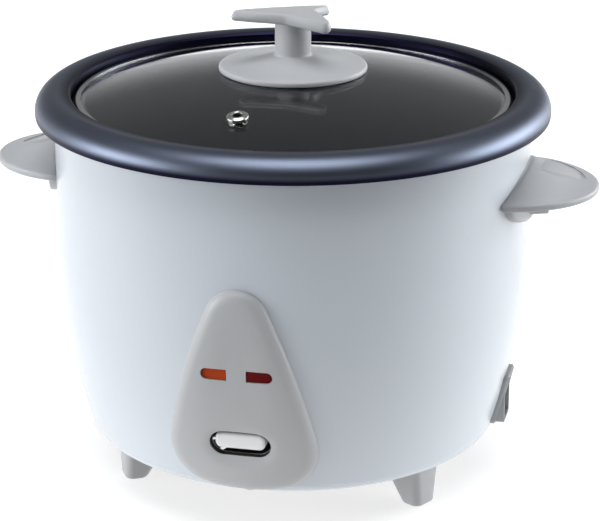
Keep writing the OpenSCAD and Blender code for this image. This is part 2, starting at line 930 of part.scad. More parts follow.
// Rounded triangle in X and Z, moved inwards by inset: four arcs that touch each other
module panel_outline(inset) {
    // The long side's arc holds the tip's and the corner's arcs, touching both
    to_corner = [wide_x, wide_z] - [0, tip_z];
    span = norm(to_corner);
    tip_leg = panel_side_r - panel_tip_r;
    corner_leg = panel_side_r - panel_corner_r;
    along = (pow(tip_leg, 2) - pow(corner_leg, 2) + pow(span, 2)) / (2 * span);
    away = sqrt(pow(tip_leg, 2) - pow(along, 2));
    unit = to_corner / span;
    centre = [0, tip_z] + along * unit + away * [unit[1], -unit[0]];
    tip_angle = atan2(tip_z - centre[1], -centre[0]);
    corner_angle = atan2(wide_z - centre[1], wide_x - centre[0]);
    base_angle = atan2(wide_z - base_z, wide_x);
    right = concat(
        arc_points([0, base_z], panel_base_r - inset, -90, base_angle, 6),
        arc_points([wide_x, wide_z], panel_corner_r - inset, base_angle, corner_angle, 16),
        arc_points(centre, panel_side_r - inset, corner_angle, tip_angle, 10),
        arc_points([0, tip_z], panel_tip_r - inset, tip_angle, 90, 12)
    );
    polygon(concat(right, [for (i = [len(right) - 2 : -1 : 1]) [-right[i][0], right[i][1]]]));
}

module panel_screw_places() {
    for (place = panel_screws)
        on_drum(front + asin(place[0] / drum_radius(place[1])), place[1])
            children();
}

// One lens outline, its outer end round and its inner end square; x is -1 or 1
module lens_outline(x, grow) {
    translate([x * lens_x, lens_z])
        mirror([x < 0 ? 1 : 0, 0])
            intersection() {
                square([lens_l, lens_h] + 2 * [grow, grow], center = true);
                translate([-lens_l / 2, 0])
                    stadium(3 * lens_l, lens_h + 2 * grow);
                translate([lens_l / 2 - far, -far / 2])
                    square([far + grow, far]);
            }
}

module control_panel() {
    color("silver")
        difference() {
            union() {
                difference() {
                    intersection() {
                        drum_layer(0, panel_proud);
                        through_front()
                            panel_outline(0);
                    }
                    intersection() {
                        drum_layer(-1, panel_proud - panel_wall);
                        through_front()
                            panel_outline(panel_wall);
                    }
                }
                intersection() {
                    drum_layer(0, panel_proud - panel_wall + nudge);
                    union() {
                        panel_screw_places()
                            cylinder(r = boss_r, h = 2 * panel_proud);
                        through_front()
                            translate([0, slot_z])
                                difference() {
                                    stadium(slot_w + 2.4, slot_h + 2.4);
                                    stadium(slot_w, slot_h);
                                }
                    }
                }
            }
            intersection() {
                drum_layer(panel_proud - channel_d, panel_proud + 2);
                through_front()
                    translate([0, lens_z])
                        stadium(channel_w, channel_h);
            }
            through_front() {
                translate([0, slot_z])
                    stadium(slot_w, slot_h);
                for (x = side)
                    lens_outline(x, lens_fit);
            }
            panel_screw_places()
                cylinder(r = panel_screw_r + thread_gap, h = panel_proud - 1.2);
        }
}

module panel_screws() {
    color("gainsboro")
        panel_screw_places()
            translate([0, 0, -drum_wall - head_gap])
                rotate([180, 0, 0])
                    screw(panel_screw_r, drum_wall + panel_proud - 1.4, 2.8, 1.8);
}

// A lens: its face in the panel's channel, a lip behind the panel and a light pipe
module lens(x) {
    panel_in = panel_proud - panel_wall;
    intersection() {
        drum_layer(-drum_wall - 1, panel_proud - channel_d + 0.3);
        through_front()
            lens_outline(x, 0);
    }
    intersection() {
        drum_layer(0.3, panel_in - 0.05);
        through_front()
            lens_outline(x, lens_lip);
    }
}

module lens_amber() { color("orange") lens(-1); }

module lens_red() { color("darkred") lens(1); }

// A small sealed lamp standing in the holder
module lamp(x) {
    translate([x * lens_x, -lamp_place, holder_top - 3])
        difference() {
            union() {
                cylinder(r = lamp_r, h = lamp_l - lamp_r);
                translate([0, 0, lamp_l - lamp_r])
                    sphere(lamp_r);
            }
            translate([0, 0, 1])
                cylinder(r = lamp_r - 0.5, h = lamp_l - lamp_r - 1);
        }
}

module lamp_amber() { color("gold") lamp(-1); }

module lamp_red() { color("tomato") lamp(1); }

// Plastic bar inside the drum, shaped to its skin, with a socket for each lamp
module lamp_holder() {
    half_w = lens_x + lens_l / 2;
    color("dimgray")
        difference() {
            intersection() {
                translate([-half_w, -far / 2, holder_top - holder_h])
                    cube([2 * half_w, far / 2 - lamp_place + lamp_r + 1, holder_h]);
                drum_solid(drum_wall);
            }
            cylinder(r = liner_side_r + 0.3, h = drum_top);
            for (x = side)
                translate([x * lens_x, -lamp_place, holder_top - 3])
                    cylinder(r = lamp_r + thread_gap, h = holder_h);
        }
}

// The key: a rounded bar in the slot and a stem inside that grips the lever
module cook_key() {
    color("whitesmoke")
        difference() {
            union() {
                translate([0, -key_back, key_z])
                    rotate([90, 0, 0])
                        linear_extrude(key_face - key_back)
                            round_rect(key_w, key_h, key_corner);
                translate([-stem_half_w, -key_back - 1, stem_low])
                    cube([2 * stem_half_w, key_back + 1 - stem_back, tab_top + 1 - stem_low]);
            }
            translate([0, -tab_y + lever_t / 2, tab_top - far / 2 + key_gap])
                cube([lever_w + 2 * key_gap, lever_t + 2 * key_gap, far], center = true);
        }
}

// ---------- inlet ----------

module inlet_housing() {
    outer = [socket_w, socket_h] + 2 * [socket_wall, socket_wall];
    color("gray")
        difference() {
            union() {
                intersection() {
                    drum_layer(0, bezel_proud);
                    through_side()
                        translate([0, inlet_z])
                            round_rect(bezel_w, bezel_h, bezel_corner_r);
                }
                intersection() {
                    translate([socket_x - socket_floor, -outer[0] / 2, inlet_z - outer[1] / 2])
                        cube([far, outer[0], outer[1]]);
                    drum_solid(-nudge);
                }
            }
            translate([socket_x, -socket_w / 2, inlet_z - socket_h / 2])
                cube([far, socket_w, socket_h]);
            for (place = blades)
                blade_at(place)
                    cube([far, blade_t, blade_w], center = true);
        }
}

module blade_at(place) {
    translate([socket_x, place[0], inlet_z + place[1]])
        children();
}

module inlet_pins() {
    length = blade_l + socket_floor + tail_l;
    color("gold")
        for (place = blades)
            blade_at(place)
                translate([blade_l - length / 2, 0, 0])
                    cube([length, blade_t, blade_w], center = true);
}

// ---------- liner and heater ----------

module inner_liner() {
    color("lightgray")
        difference() {
            rotate_extrude() {
                difference() {
                    liner_inside(0);
                    liner_inside(liner_wall);
                    square([liner_hole_r, liner_floor + 1]);
                }
                translate([liner_neck_r - liner_wall, drum_top])
                    square([liner_flange_w + liner_wall, liner_wall]);
            }
            leg_places()
                cylinder(r = heater_screw_r + 0.2, h = far, center = true);
            for (y = side)
                translate([element_end[0], y * element_end[1], liner_floor - 1])
                    cylinder(r = terminal_r + 2, h = 3);
        }
}

// The liner's section without its flange, moved inwards by inset
module liner_inside(inset) {
    corner_at = liner_floor + liner_corner_r;
    translate([0, liner_floor + inset])
        square([liner_flat_r, cone_bottom_z - liner_floor - inset]);
    translate([0, corner_at])
        square([liner_side_r - inset, cone_bottom_z - corner_at]);
    translate([liner_flat_r, corner_at])
        circle(liner_corner_r - inset);
    polygon([
        [0, cone_bottom_z - 1], [liner_side_r - inset, cone_bottom_z - 1],
        [liner_side_r - inset, cone_bottom_z], [liner_neck_r - inset, neck_bottom_z],
        [liner_neck_r - inset, drum_top + liner_wall + inset],
        [0, drum_top + liner_wall + inset]
    ]);
}

// Strips that tie the liner's floor to the drum's bottom flange
module support_strips() {
    strip_w = 14;
    strip_t = 1.2;
    strip_r = flange_in_r - 2;
    low = drum_bottom + drum_wall;
    tab = 8;
    color("silver")
        for (turn = [-30, 90, 210])
            rotate([0, 0, turn])
                rotate([90, 0, 0])
                    linear_extrude(strip_w, center = true)
                        polygon([
                            [strip_r, low], [strip_r + tab, low], [strip_r + tab, low + strip_t],
                            [strip_r + strip_t, low + strip_t],
                            [strip_r + strip_t, liner_floor], [strip_r - tab, liner_floor],
                            [strip_r - tab, liner_floor - strip_t],
                            [strip_r, liner_floor - strip_t]
                        ]);
}

module leg_places() {
    leg_place_r = (heater_r + element_ring_r + ridge_w / 2) / 2;
    for (turn = [60, 180, 300])
        rotate([0, 0, turn])
            translate([leg_place_r, 0, 0])
                children();
}

module heater_plate() {
    color("silver")
        difference() {
            rotate_extrude() {
                translate([heater_hole_r, plate_bottom])
                    square([heater_r - 1 - heater_hole_r, heater_thk]);
                translate([heater_hole_r, plate_bottom])
                    square([heater_r - heater_hole_r, heater_thk - 1]);
                translate([heater_r - 1, heater_top - 1])
                    circle(1);
                translate([element_ring_r - ridge_w / 2, ridge_bottom])
                    square([ridge_w, ridge_h + nudge]);
            }
            rotate_extrude()
                translate([element_ring_r, ridge_bottom])
                    circle(element_r + thread_gap);
            leg_places()
                translate([0, 0, plate_bottom - 1])
                    cylinder(r = heater_screw_r + thread_gap, h = heater_thk - 0.8);
        }
}

// Tubular element: a ring open by a gap, each end turned down into a terminal
module heating_element() {
    color("dimgray") {
        rotate([0, 0, element_gap / 2])
            rotate_extrude(angle = 360 - element_gap)
                translate([element_ring_r, ridge_bottom])
                    circle(element_r, $fn = 32);
        for (y = side)
            translate([element_end[0], y * element_end[1], ridge_bottom]) {
                sphere(element_r + thread_gap, $fn = 48);
                translate([0, 0, liner_floor - terminal_l - ridge_bottom])
                    cylinder(r = terminal_r, h = ridge_bottom - liner_floor + terminal_l);
            }
    }
}

module heater_legs() {
    color("silver")
        leg_places()
            translate([0, 0, liner_inside])
                tube(leg_r, heater_screw_r + 0.1, plate_bottom - liner_inside);
}

module heater_screws() {
    color("gainsboro")
        leg_places()
            translate([0, 0, liner_floor])
                rotate([180, 0, 0])
                    screw(heater_screw_r, plate_bottom + heater_thk - 2.5 - liner_floor, 3.4, 2);
}

// ---------- thermostat ----------

module sensor_sleeve() {
    color("silver")
        difference() {
            union() {
                translate([0, 0, sleeve_bottom])
                    cylinder(r = sleeve_r, h = sleeve_top - sleeve_bottom);
                translate([0, 0, liner_floor - sleeve_flange_t])
                    cylinder(r = sleeve_flange_r, h = sleeve_flange_t);
            }
            translate([0, 0, sleeve_floor])
                cylinder(r = sleeve_r - sleeve_wall, h = far);
            translate([0, 0, sleeve_bottom - 1])
                cylinder(r = rod_r + running_gap, h = far);
        }
}

module sensor_spring() {
    color("gray")
        coil_spring(cap_spring_r, cap_spring_wire_r, sleeve_floor, ferrite_top, cap_spring_turns);
}

module sensor_cap() {
    color("gainsboro")
        difference() {
            union() {
                translate([0, 0, cap_bottom])
                    cylinder(r = cap_r, h = cap_h - 1);
                translate([0, 0, cap_bottom])
                    cylinder(r = cap_r - 1, h = cap_h);
                translate([0, 0, heater_top - 1])
                    rotate_extrude()
                        translate([cap_r - 1, 0])
                            circle(1);
            }
            translate([0, 0, cap_bottom - 1])
                cylinder(r = cap_r - cap_wall, h = cap_h + 1 - cap_wall);
        }
}

module thermal_ferrite() {
    color("dimgray")
        translate([0, 0, ferrite_bottom])
            cylinder(r = ferrite_r, h = ferrite_h);
}

module magnet() {
    color("dimgray")
        translate([0, 0, sleeve_floor])
            cylinder(r = magnet_r, h = magnet_top - sleeve_floor);
}

// Rod below the magnet with two collars that hold the lever's fork
module magnet_rod() {
    color("silver") {
        translate([0, 0, rod_bottom])
            cylinder(r = rod_r, h = sleeve_floor - rod_bottom);
        for (z = [upper_collar_z, lower_collar_z])
            translate([0, 0, z])
                cylinder(r = collar_r, h = collar_t);
    }
}

module magnet_spring() {
    color("gray")
        coil_spring(magnet_spring_r, magnet_spring_wire_r, upper_collar_z + collar_t,
            sleeve_bottom, magnet_spring_turns);
}

// ---------- lever and switch ----------

module lever_bracket() {
    color("silver")
        difference() {
            union() {
                translate([-ear_x - bracket_t, bracket_front, liner_floor - bracket_t])
                    cube([2 * (ear_x + bracket_t), bracket_back - bracket_front, bracket_t]);
                for (x = side)
                    translate([x * (ear_x + bracket_t / 2), -pivot_y, 0])
                        rotate([0, 90, 0])
                            linear_extrude(bracket_t, center = true) {
                                translate([-pivot_z, 0])
                                    circle(ear_drop + 1);
                                translate([-liner_floor, -ear_drop - 1])
                                    square([liner_floor - pivot_z, 2 * ear_drop + 2]);
                            }
            }
            pivot_line(pin_r + thread_gap);
        }
}

// A cylinder along the lever's pivot
module pivot_line(r) {
    translate([0, -pivot_y, pivot_z])
        rotate([0, 90, 0])
            cylinder(r = r, h = far, center = true);
}

// Pivot pin with a flat head at one side
module lever_pin() {
    length = 2 * (ear_x + bracket_t) + 2;
    color("gray")
        translate([-length / 2, -pivot_y, pivot_z])
            rotate([0, 90, 0]) {
                cylinder(r = pin_r, h = length);
                translate([0, 0, length - 1])
                    cylinder(r = pin_r + 1, h = 1);
            }
}

// Strip lever: a fork round the rod, a hub on the pivot and a tab that carries the key
module cook_lever() {
    color("silver")
        difference() {
            union() {
                translate([-lever_w / 2, jog_y, inner_bottom])
                    cube([lever_w, fork_tip - jog_y, lever_t]);
                translate([-lever_w / 2, jog_y, inner_bottom])
                    cube([lever_w, lever_t, outer_top - inner_bottom]);
                translate([-lever_w / 2, -tab_y, outer_bottom])
                    cube([lever_w, tab_y + jog_y + lever_t, lever_t]);
                translate([-lever_w / 2, -tab_y, outer_bottom])
                    cube([lever_w, lever_t, tab_top - outer_bottom]);
                translate([-hub_l / 2, -pivot_y, pivot_z])
                    rotate([0, 90, 0])
                        cylinder(r = hub_r, h = hub_l);
            }
            pivot_line(pin_r + running_gap);
            translate([-fork_slot_w / 2, -rod_r - 1, inner_bottom - 1])
                cube([fork_slot_w, far, lever_t + 2]);
        }
}

module main_switch() {
    color("saddlebrown")
        difference() {
            translate([-switch_w / 2, switch_y - switch_l / 2, switch_bottom])
                cube([switch_w, switch_l, liner_floor - bracket_t - switch_bottom]);
            translate([0, switch_y, switch_bottom - 1])
                cylinder(r = plunger_r + running_gap,
                    h = 1 + plunger_top - switch_bottom + plunger_room);
        }
}

module switch_plunger() {
    color("ivory")
        translate([0, switch_y, plunger_bottom])
            cylinder(r = plunger_r, h = plunger_top - plunger_bottom);
}

// ---------- wiring ----------

module terminal_block() {
    color("beige")
        difference() {
            translate([block_at[0] - block_size[0] / 2, block_at[1] - block_size[1] / 2,
                    liner_floor - block_size[2]])
                cube(block_size);
            for (x = [-7, 0, 7])
                translate([block_at[0] + x, block_at[1], liner_floor - block_size[2] - 1])
                    cylinder(r = 2, h = 5);
        }
}

module thermal_fuse() {
    color("white")
        translate([fuse_x, -element_end[1], lead_z])
            rotate([0, 90, 0])
                cylinder(r = fuse_r, h = fuse_l);
}

module lead_wires() {
    block_side = block_at[1] - block_size[1] / 2;
    block_end = block_at[0] + block_size[0] / 2;
    block_z = lead_z + 2;
    high_z = inlet_z + blade_pitch;
    low_z = inlet_z - blade_pitch;
    fuse_end = fuse_x + fuse_l;
    fuse_y = -element_end[1];
    switch_x = switch_w / 2;
    lamp_y = lamp_place - 2;
    color("white") {
        // Live: inlet to fuse, and fuse to the first element terminal
        lead([
            [tail_x, 0, high_z], [tail_x - 4, 0, high_z],
            [fuse_end + 4, fuse_y, lead_z], [fuse_end, fuse_y, lead_z]
        ]);
        lead([[fuse_x, fuse_y, lead_z], [element_end[0] + terminal_r, fuse_y, lead_z]]);
        // Neutral: inlet to the terminal block
        lead([
            [tail_x, 0, low_z], [tail_x - 4, 0, low_z],
            [block_end + 6, block_at[1], block_z], [block_end, block_at[1], block_z]
        ]);
        // Terminal block to the second element terminal
        lead([
            [element_end[0], element_end[1] + terminal_r, lead_z],
            [element_end[0], block_side - 4, lead_z],
            [block_at[0] + 7, block_side - 4, lead_z], [block_at[0] + 7, block_side, lead_z]
        ]);
        // Switch to the terminal block
        lead([
            [switch_x, switch_y + 5, lead_z], [switch_x + 4, switch_y + 5, lead_z],
            [block_at[0] - 6, switch_y + 12, lead_z], [block_at[0] - 6, block_side, lead_z]
        ]);
        // Earth: inlet to the liner's floor
        lead([
            [tail_x, earth_offset, inlet_z], [tail_x - 4, earth_offset, inlet_z],
            [tail_x - 6, 20, lead_z], [tail_x - 6, 20, liner_floor]
        ]);
        // Lamp holder to the switch, round the liner's corner
        lead([
            [lens_x, -lamp_y, holder_top - holder_h], [lens_x, -lamp_y, holder_top - holder_h - 3],
            [lens_x + 8, 5.5 - drum_radius(liner_floor), liner_floor + 4], [22, -88, lead_z],
            [24, switch_y - 4, lead_z], [switch_x, switch_y - 4, lead_z]
        ]);
    }
}

// ---------- pot ----------

module inner_pot() {
    color("slategray") {
        rotate_extrude()
            difference() {
                pot_inside(0);
                pot_inside(pot_wall);
            }
        translate([0, 0, ledge_z - pot_wall])
            tube(neck_out_r, pot_in_r, pot_wall);
        difference() {
            rim_solid(0);
            rim_solid(pot_wall);
        }
    }
}

// The solid under the rolled rim, moved inwards by inset: the neck, a sloping shelf and the
// roll
module rim_solid(inset) {
    bevel = 0.7;
    low = ledge_z - pot_wall / 2 - inset;
    rotate_extrude()
        polygon([
            [neck_in_r + inset, low], [neck_in_r + inset, rim_z - bevel - 1 - inset],
            [neck_in_r + 1 + inset, rim_z - bevel - inset], [roll_x - 1.6, rim_z - inset],
            [roll_x, rim_z - inset], [roll_x, low]
        ]);
    rotate_extrude()
        intersection() {
            translate([roll_x, roll_z])
                circle(rim_roll_r - inset);
            translate([roll_x - 1, roll_z - rim_skirt - inset])
                square([far, far]);
        }
}

// The section of a can with a round bottom corner, moved inwards by inset
module pot_inside(inset) {
    flat_r = pot_side_r - pot_corner_r;
    corner_at = heater_top + pot_corner_r;
    translate([0, heater_top + inset])
        square([flat_r, ledge_z - heater_top - inset]);
    translate([0, corner_at])
        square([pot_side_r - inset, ledge_z - corner_at]);
    translate([flat_r, corner_at])
        circle(pot_corner_r - inset);
}

// ---------- lid ----------

module lid_glass() {
    glass_low = ledge_z + band_wall + (dome_edge_z - ledge_z - band_wall - glass_t) / 2;
    color("slategray", 0.5)
        difference() {
            rotate_extrude()
                difference() {
                    intersection() {
                        translate([0, dome_z])
                            circle(dome_r, $fn = 360);
                        translate([0, glass_low])
                            square([glass_edge_r, dome_top]);
                    }
                    intersection() {
                        translate([0, dome_z])
                            circle(dome_r - glass_t, $fn = 360);
                        square([lip_in_r, 2 * dome_top]);
                    }
                }
            cylinder(r = knob_screw_r + 0.5, h = far);
            on_dome()
                cylinder(r = eyelet_bore_r + eyelet_wall + thread_gap, h = 4 * glass_t, center = true);
        }
}

// Places children on the glass at the steam vent, with +Z straight out of the glass
module on_dome() {
    translate([0, 0, dome_z])
        rotate([0, 0, vent_turn])
            rotate([0, vent_tilt, 0])
                translate([0, 0, dome_r])
                    children();
}

// Folded steel band: upper lip on the glass, outer wall, ledge under the glass and a skirt
module lid_band() {
    color("gainsboro")
        rotate_extrude() {
            translate([band_r - band_base_w, ledge_z])
                square([band_base_w, band_wall]);
            translate([band_r - band_wall, ledge_z])
                square([band_wall, band_h]);
            translate([lip_in_r, band_top - band_wall])
                square([band_lip_w, band_wall]);
            translate([band_r - band_base_w, ledge_z - skirt_h])
                square([band_wall, skirt_h + nudge]);
        }
}

// Dark filler between the glass's edge and the band
module lid_seal() {
    color("black")
        rotate_extrude()
            translate([glass_edge_r, ledge_z + band_wall])
                square([seal_w, band_h - 2 * band_wall]);
}

module vent_eyelet() {
    barrel = eyelet_bore_r + eyelet_wall;
    low_lip = 0.8;
    low_r = barrel + 1.2;
    low_z = -glass_t - low_lip - 0.05;
    color("gainsboro")
        on_dome()
            difference() {
                union() {
                    translate([0, 0, low_z])
                        cylinder(r = barrel, h = eyelet_h - low_z);
                    translate([0, 0, low_z])
                        cylinder(r = low_r, h = low_lip);
                    translate([0, 0, nudge])
                        cylinder(r = eyelet_lip_r, h = eyelet_h - 1);
                    translate([0, 0, eyelet_h - 1])
                        cylinder(r1 = eyelet_lip_r, r2 = eyelet_lip_r - 1, h = 1);
                }
                cylinder(r = eyelet_bore_r, h = 8 * glass_t, center = true);
            }
}

// ---------- knob ----------

// Dished disc on the glass with a stem; the sweep between them is an arc that is level at
// the disc's edge
module knob_base() {
    run = disc_r - 3 - stem_r;
    sweep_r = (pow(run, 2) + pow(disc_sweep, 2)) / (2 * disc_sweep);
    color("darkgray")
        difference() {
            union() {
                rotate_extrude() {
                    translate([0, disc_bottom])
                        square([disc_r - disc_t / 2, disc_t]);
                    translate([disc_r - disc_t / 2, disc_bottom + disc_t / 2])
                        circle(disc_t / 2);
                    difference() {
                        translate([0, disc_edge_top - nudge])
                            square([disc_r - 3, disc_sweep + nudge]);
                        translate([disc_r - 3, disc_edge_top + sweep_r])
                            circle(sweep_r, $fn = 180);
                    }
                }
                translate([0, 0, disc_bottom])
                    cylinder(r = stem_r, h = stem_top - disc_bottom);
                translate([0, 0, stem_top - nudge])
                    cylinder(r = spigot_r, h = spigot_h);
            }
            translate([0, 0, dome_z])
                sphere(dome_r + 0.05, $fn = 360);
            translate([0, 0, disc_bottom - 1])
                cylinder(r = knob_screw_r + thread_gap, h = knob_screw_l + 3);
        }
}

// The grip's plan: a pointed end along -X and two prongs along +X with a notch between
module grip_outline() {
    notch_r = 9;
    difference() {
        union() {
            hull() {
                translate([grip_tip_r - grip_tip, 0])
                    circle(grip_tip_r, $fn = hull_fn);
                circle(grip_waist, $fn = hull_fn);
            }
            for (y = side)
                hull() {
                    circle(grip_waist, $fn = hull_fn);
                    translate([grip_prong - grip_prong_r, y * grip_spread])
                        circle(grip_prong_r, $fn = hull_fn);
                }
        }
        translate([notch_x + notch_r, 0])
            circle(notch_r);
    }
}

module knob_grip() {
    color("darkgray")
        rotate([0, 0, grip_turn])
            difference() {
                intersection() {
                    translate([0, 0, grip_bottom])
                        linear_extrude(2 * grip_t)
                            grip_outline();
                    translate([0, far / 2, grip_top - arch_r])
                        rotate([90, 0, 0])
                            cylinder(r = arch_r, h = far, $fn = 360);
                }
                translate([0, 0, grip_bottom - 1])
                    cylinder(r = spigot_r + thread_gap, h = spigot_h + 1.2);
            }
}

module knob_screw() {
    color("gainsboro")
        translate([0, 0, dome_top - glass_t - 1.5])
            rotate([180, 0, 0])
                screw(knob_screw_r, glass_t + 1.5 + knob_screw_l, 4.5, 2.6);
}

// Soft washer under the glass; its upper face follows the dome
module knob_washer() {
    color("dimgray")
        difference() {
            translate([0, 0, dome_top - glass_t - 1.5])
                cylinder(r = 8, h = 1.3);
            translate([0, 0, dome_top - glass_t - 3])
                cylinder(r = knob_screw_r + 0.3, h = 5);
        }
}

outer_body();
bottom_cover();
foot_front_left();
foot_front_right();
foot_rear();
foot_screws();
cover_screws();
handle_left();
handle_right();
handle_screws();
control_panel();
panel_screws();
lens_amber();
lens_red();
lamp_amber();
lamp_red();
lamp_holder();
inlet_housing();
inlet_pins();
inner_liner();
support_strips();
heater_plate();
heating_element();
heater_legs();
heater_screws();
sensor_sleeve();
sensor_spring();
sensor_cap();
thermal_ferrite();
magnet();
magnet_rod();
magnet_spring();
lever_bracket();
lever_pin();
cook_lever();
cook_key();
main_switch();
switch_plunger();
terminal_block();
thermal_fuse();
lead_wires();
inner_pot();
lid_glass();
lid_band();
lid_seal();
vent_eyelet();
knob_base();
knob_grip();
knob_screw();
knob_washer();
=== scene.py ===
"""Looks of a rice cooker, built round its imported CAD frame.

Each sub-assembly is a class that models its visible pieces and dresses the CAD nodes that stay.
Lengths in the classes are in millimetres, and Blender's are in metres.
"""

import logging
import math
from dataclasses import dataclass
from enum import Enum
from typing import Callable, Optional, Sequence, Union

import bmesh
import bpy
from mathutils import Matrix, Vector


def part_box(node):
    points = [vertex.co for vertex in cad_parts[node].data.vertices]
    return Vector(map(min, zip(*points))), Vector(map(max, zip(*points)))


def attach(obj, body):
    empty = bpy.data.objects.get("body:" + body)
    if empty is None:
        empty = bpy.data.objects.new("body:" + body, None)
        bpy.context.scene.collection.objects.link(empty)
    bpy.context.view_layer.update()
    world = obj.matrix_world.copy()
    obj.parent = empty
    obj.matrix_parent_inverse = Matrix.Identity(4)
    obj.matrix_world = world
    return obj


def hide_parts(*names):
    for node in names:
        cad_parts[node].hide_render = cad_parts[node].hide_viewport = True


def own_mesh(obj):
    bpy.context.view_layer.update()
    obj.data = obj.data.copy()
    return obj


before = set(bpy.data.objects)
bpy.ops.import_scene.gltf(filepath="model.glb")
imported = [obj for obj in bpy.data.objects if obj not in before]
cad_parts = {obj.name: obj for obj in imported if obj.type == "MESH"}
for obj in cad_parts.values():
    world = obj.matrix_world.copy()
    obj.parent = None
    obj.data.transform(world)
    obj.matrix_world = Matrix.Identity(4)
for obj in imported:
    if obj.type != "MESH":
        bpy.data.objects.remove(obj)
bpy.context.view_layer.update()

MM = 0.001
TURN_STEPS = 192
CLOSE = 1e-6
CREASE = 35.0
SAME_WAY = 0.99
ALONG_Z = (0.0, 0.0, 1.0)
ACROSS_Z = (1.0, 1.0, 0.0)
LOG = logging.getLogger("rice_cooker")

Point = tuple[float, float]
Triple = tuple[float, float, float]
Piece = bpy.types.Object
Socket = bpy.types.NodeSocket
Inputs = dict[Union[str, int], object]


# ---------- bench tools ----------


class Facing(Enum):
    """The way a slab's outer face looks, with the plane its outline is drawn in."""

    UP = "up"
    FRONT = "front"
    RIGHT = "right"

    def place(self, across: float, along: float, out: float) -> Vector:
        """Turn a slab's coordinates in millimetres into a point of the scene."""
        turned_out = {UP: (across, along, out), FRONT: (across, -out, along)}
        return Vector(turned_out.get(self, (out, across, along))) * MM

    def flat(self, point: Vector) -> Triple:
        """Turn a point of the scene into a slab's coordinates in millimetres."""
        x, y, z = (value / MM for value in point)
        return {UP: (x, y, z), FRONT: (x, z, -y), RIGHT: (y, z, x)}[self]


UP, FRONT, RIGHT = Facing


class Join(Enum):
    """How a second shape changes a piece."""

    CUT = "DIFFERENCE"
    ADD = "UNION"


@dataclass(frozen=True)
class Rounding:
    """A rounded edge between a wall and a face."""

    width: float = 0.0  # how far the round reaches over the face
    height: float = 0.0  # how far it reaches down the wall
    steps: int = 0  # number of facets in the round

    def cuts(self) -> list[Point]:
        """List the facets.

        Returns:
            How far each facet reaches inwards and upwards.
        """
        turns = [math.pi / 2 * k / self.steps for k in range(self.steps + 1)] if self.steps else []
        return [
            (self.width * (math.cos(a) - math.cos(b)), self.height * (math.sin(b) - math.sin(a)))
            for a, b in zip(turns, turns[1:])
        ]


def clear_selection() -> None:
    """Leave edit mode and deselect every object."""
    if bpy.context.mode != "OBJECT":
        bpy.ops.object.mode_set(mode="OBJECT")
    bpy.ops.object.select_all(action="DESELECT")


def take_up(piece: Piece) -> None:
    """Make a piece the only selected and active object.

    Args:
        piece: the piece to take up.
    """
    clear_selection()
    piece.select_set(True)
    bpy.context.view_layer.objects.active = piece


def edit(piece: Piece) -> None:
    """Open a piece for editing with nothing in it selected.

    Args:
        piece: the piece to open.
    """
    take_up(piece)
    bpy.ops.object.mode_set(mode="EDIT")
    bpy.ops.mesh.select_mode(type="VERT")
    bpy.ops.mesh.select_all(action="DESELECT")


def weld() -> None:
    """Merge the doubles of the piece in hand and leave all of it selected."""
    bpy.ops.mesh.select_all(action="SELECT")
    bpy.ops.mesh.remove_doubles(threshold=CLOSE)
    bpy.ops.mesh.select_all(action="SELECT")


def close_mesh() -> None:
    """Merge the doubles of the piece in hand and point its faces outwards."""
    weld()
    bpy.ops.mesh.normals_make_consistent(inside=False)


def extrude(by: Vector) -> None:
    """Extrude what is selected in the piece in hand."""
    bpy.ops.mesh.extrude_region_move(TRANSFORM_OT_translate={"value": by})


def draw(name: str, line: Sequence[Vector]) -> Piece:
    """Draw a line of edges as the start of a piece, and leave it open for editing.

    Args:
        name: the piece's name.
        line: the line's points, in metres.

    Returns:
        The new object.
    """
    clear_selection()
    bpy.ops.mesh.primitive_plane_add(size=0.01, location=(0.0, 0.0, 0.0))
    piece = bpy.context.active_object
    piece.name = piece.data.name = name
    bpy.ops.object.mode_set(mode="EDIT")
    bpy.ops.mesh.select_mode(type="VERT")
    bpy.ops.mesh.select_all(action="SELECT")
    bpy.ops.mesh.merge(type="CENTER")
    bpy.ops.transform.translate(value=line[0])
    for start, end in zip(line, line[1:]):
        extrude(end - start)
    return piece


def select_facing(piece: Piece, outward: Vector) -> None:
    """Select the faces that look one way.

    Args:
        piece: the piece being edited.
        outward: the way the faces look.
    """
    bpy.ops.mesh.select_all(action="DESELECT")
    bpy.ops.mesh.select_mode(type="FACE")
    shape = bmesh.from_edit_mesh(piece.data)
    for face in [face for face in shape.faces if face.normal.dot(outward) > SAME_WAY]:
        face.select_set(True)
    bmesh.update_edit_mesh(piece.data)


def slice_across(piece: Piece, way: Triple, levels: Sequence[float]) -> None:
    """Cut edges round a piece in several planes.

    Args:
        piece: the piece to cut.
        way: the planes' normal.
        levels: distance of each plane from the origin, in metres.
    """
    edit(piece)
    for level in levels:
        bpy.ops.mesh.select_all(action="SELECT")
        bpy.ops.mesh.bisect(plane_co=Vector(way) * level, plane_no=way)


def settle(piece: Piece, angle: float = CREASE) -> Piece:
    """Close a piece's editing, set its place into its mesh and shade it.

    Args:
        piece: the piece to finish.
        angle: edges sharper than this many degrees stay sharp.

    Returns:
        The same piece.
    """
    take_up(piece)
    bpy.ops.object.transform_apply(location=True, rotation=True, scale=True)
    bpy.ops.object.shade_smooth_by_angle(angle=math.radians(angle))
    clear_selection()
    return piece


def reshape(piece: Piece, move: Callable[[Vector], Vector]) -> Piece:
    """Move each point of a piece to where a rule says.

    Args:
        piece: the piece to change.
        move: gives a point's new place.

    Returns:
        The same piece.
    """
    clear_selection()
    for vertex in piece.data.vertices:
        vertex.co = move(vertex.co)
    piece.data.update()
    return piece


def copy_of(piece: Piece, name: str) -> Piece:
    """Copy a piece and its mesh.

    Args:
        piece: the piece to copy.
        name: the copy's name.

    Returns:
        The copy.
    """
    twin = piece.copy()
    twin.data = piece.data.copy()
    twin.name = twin.data.name = name
    bpy.context.collection.objects.link(twin)
    return twin


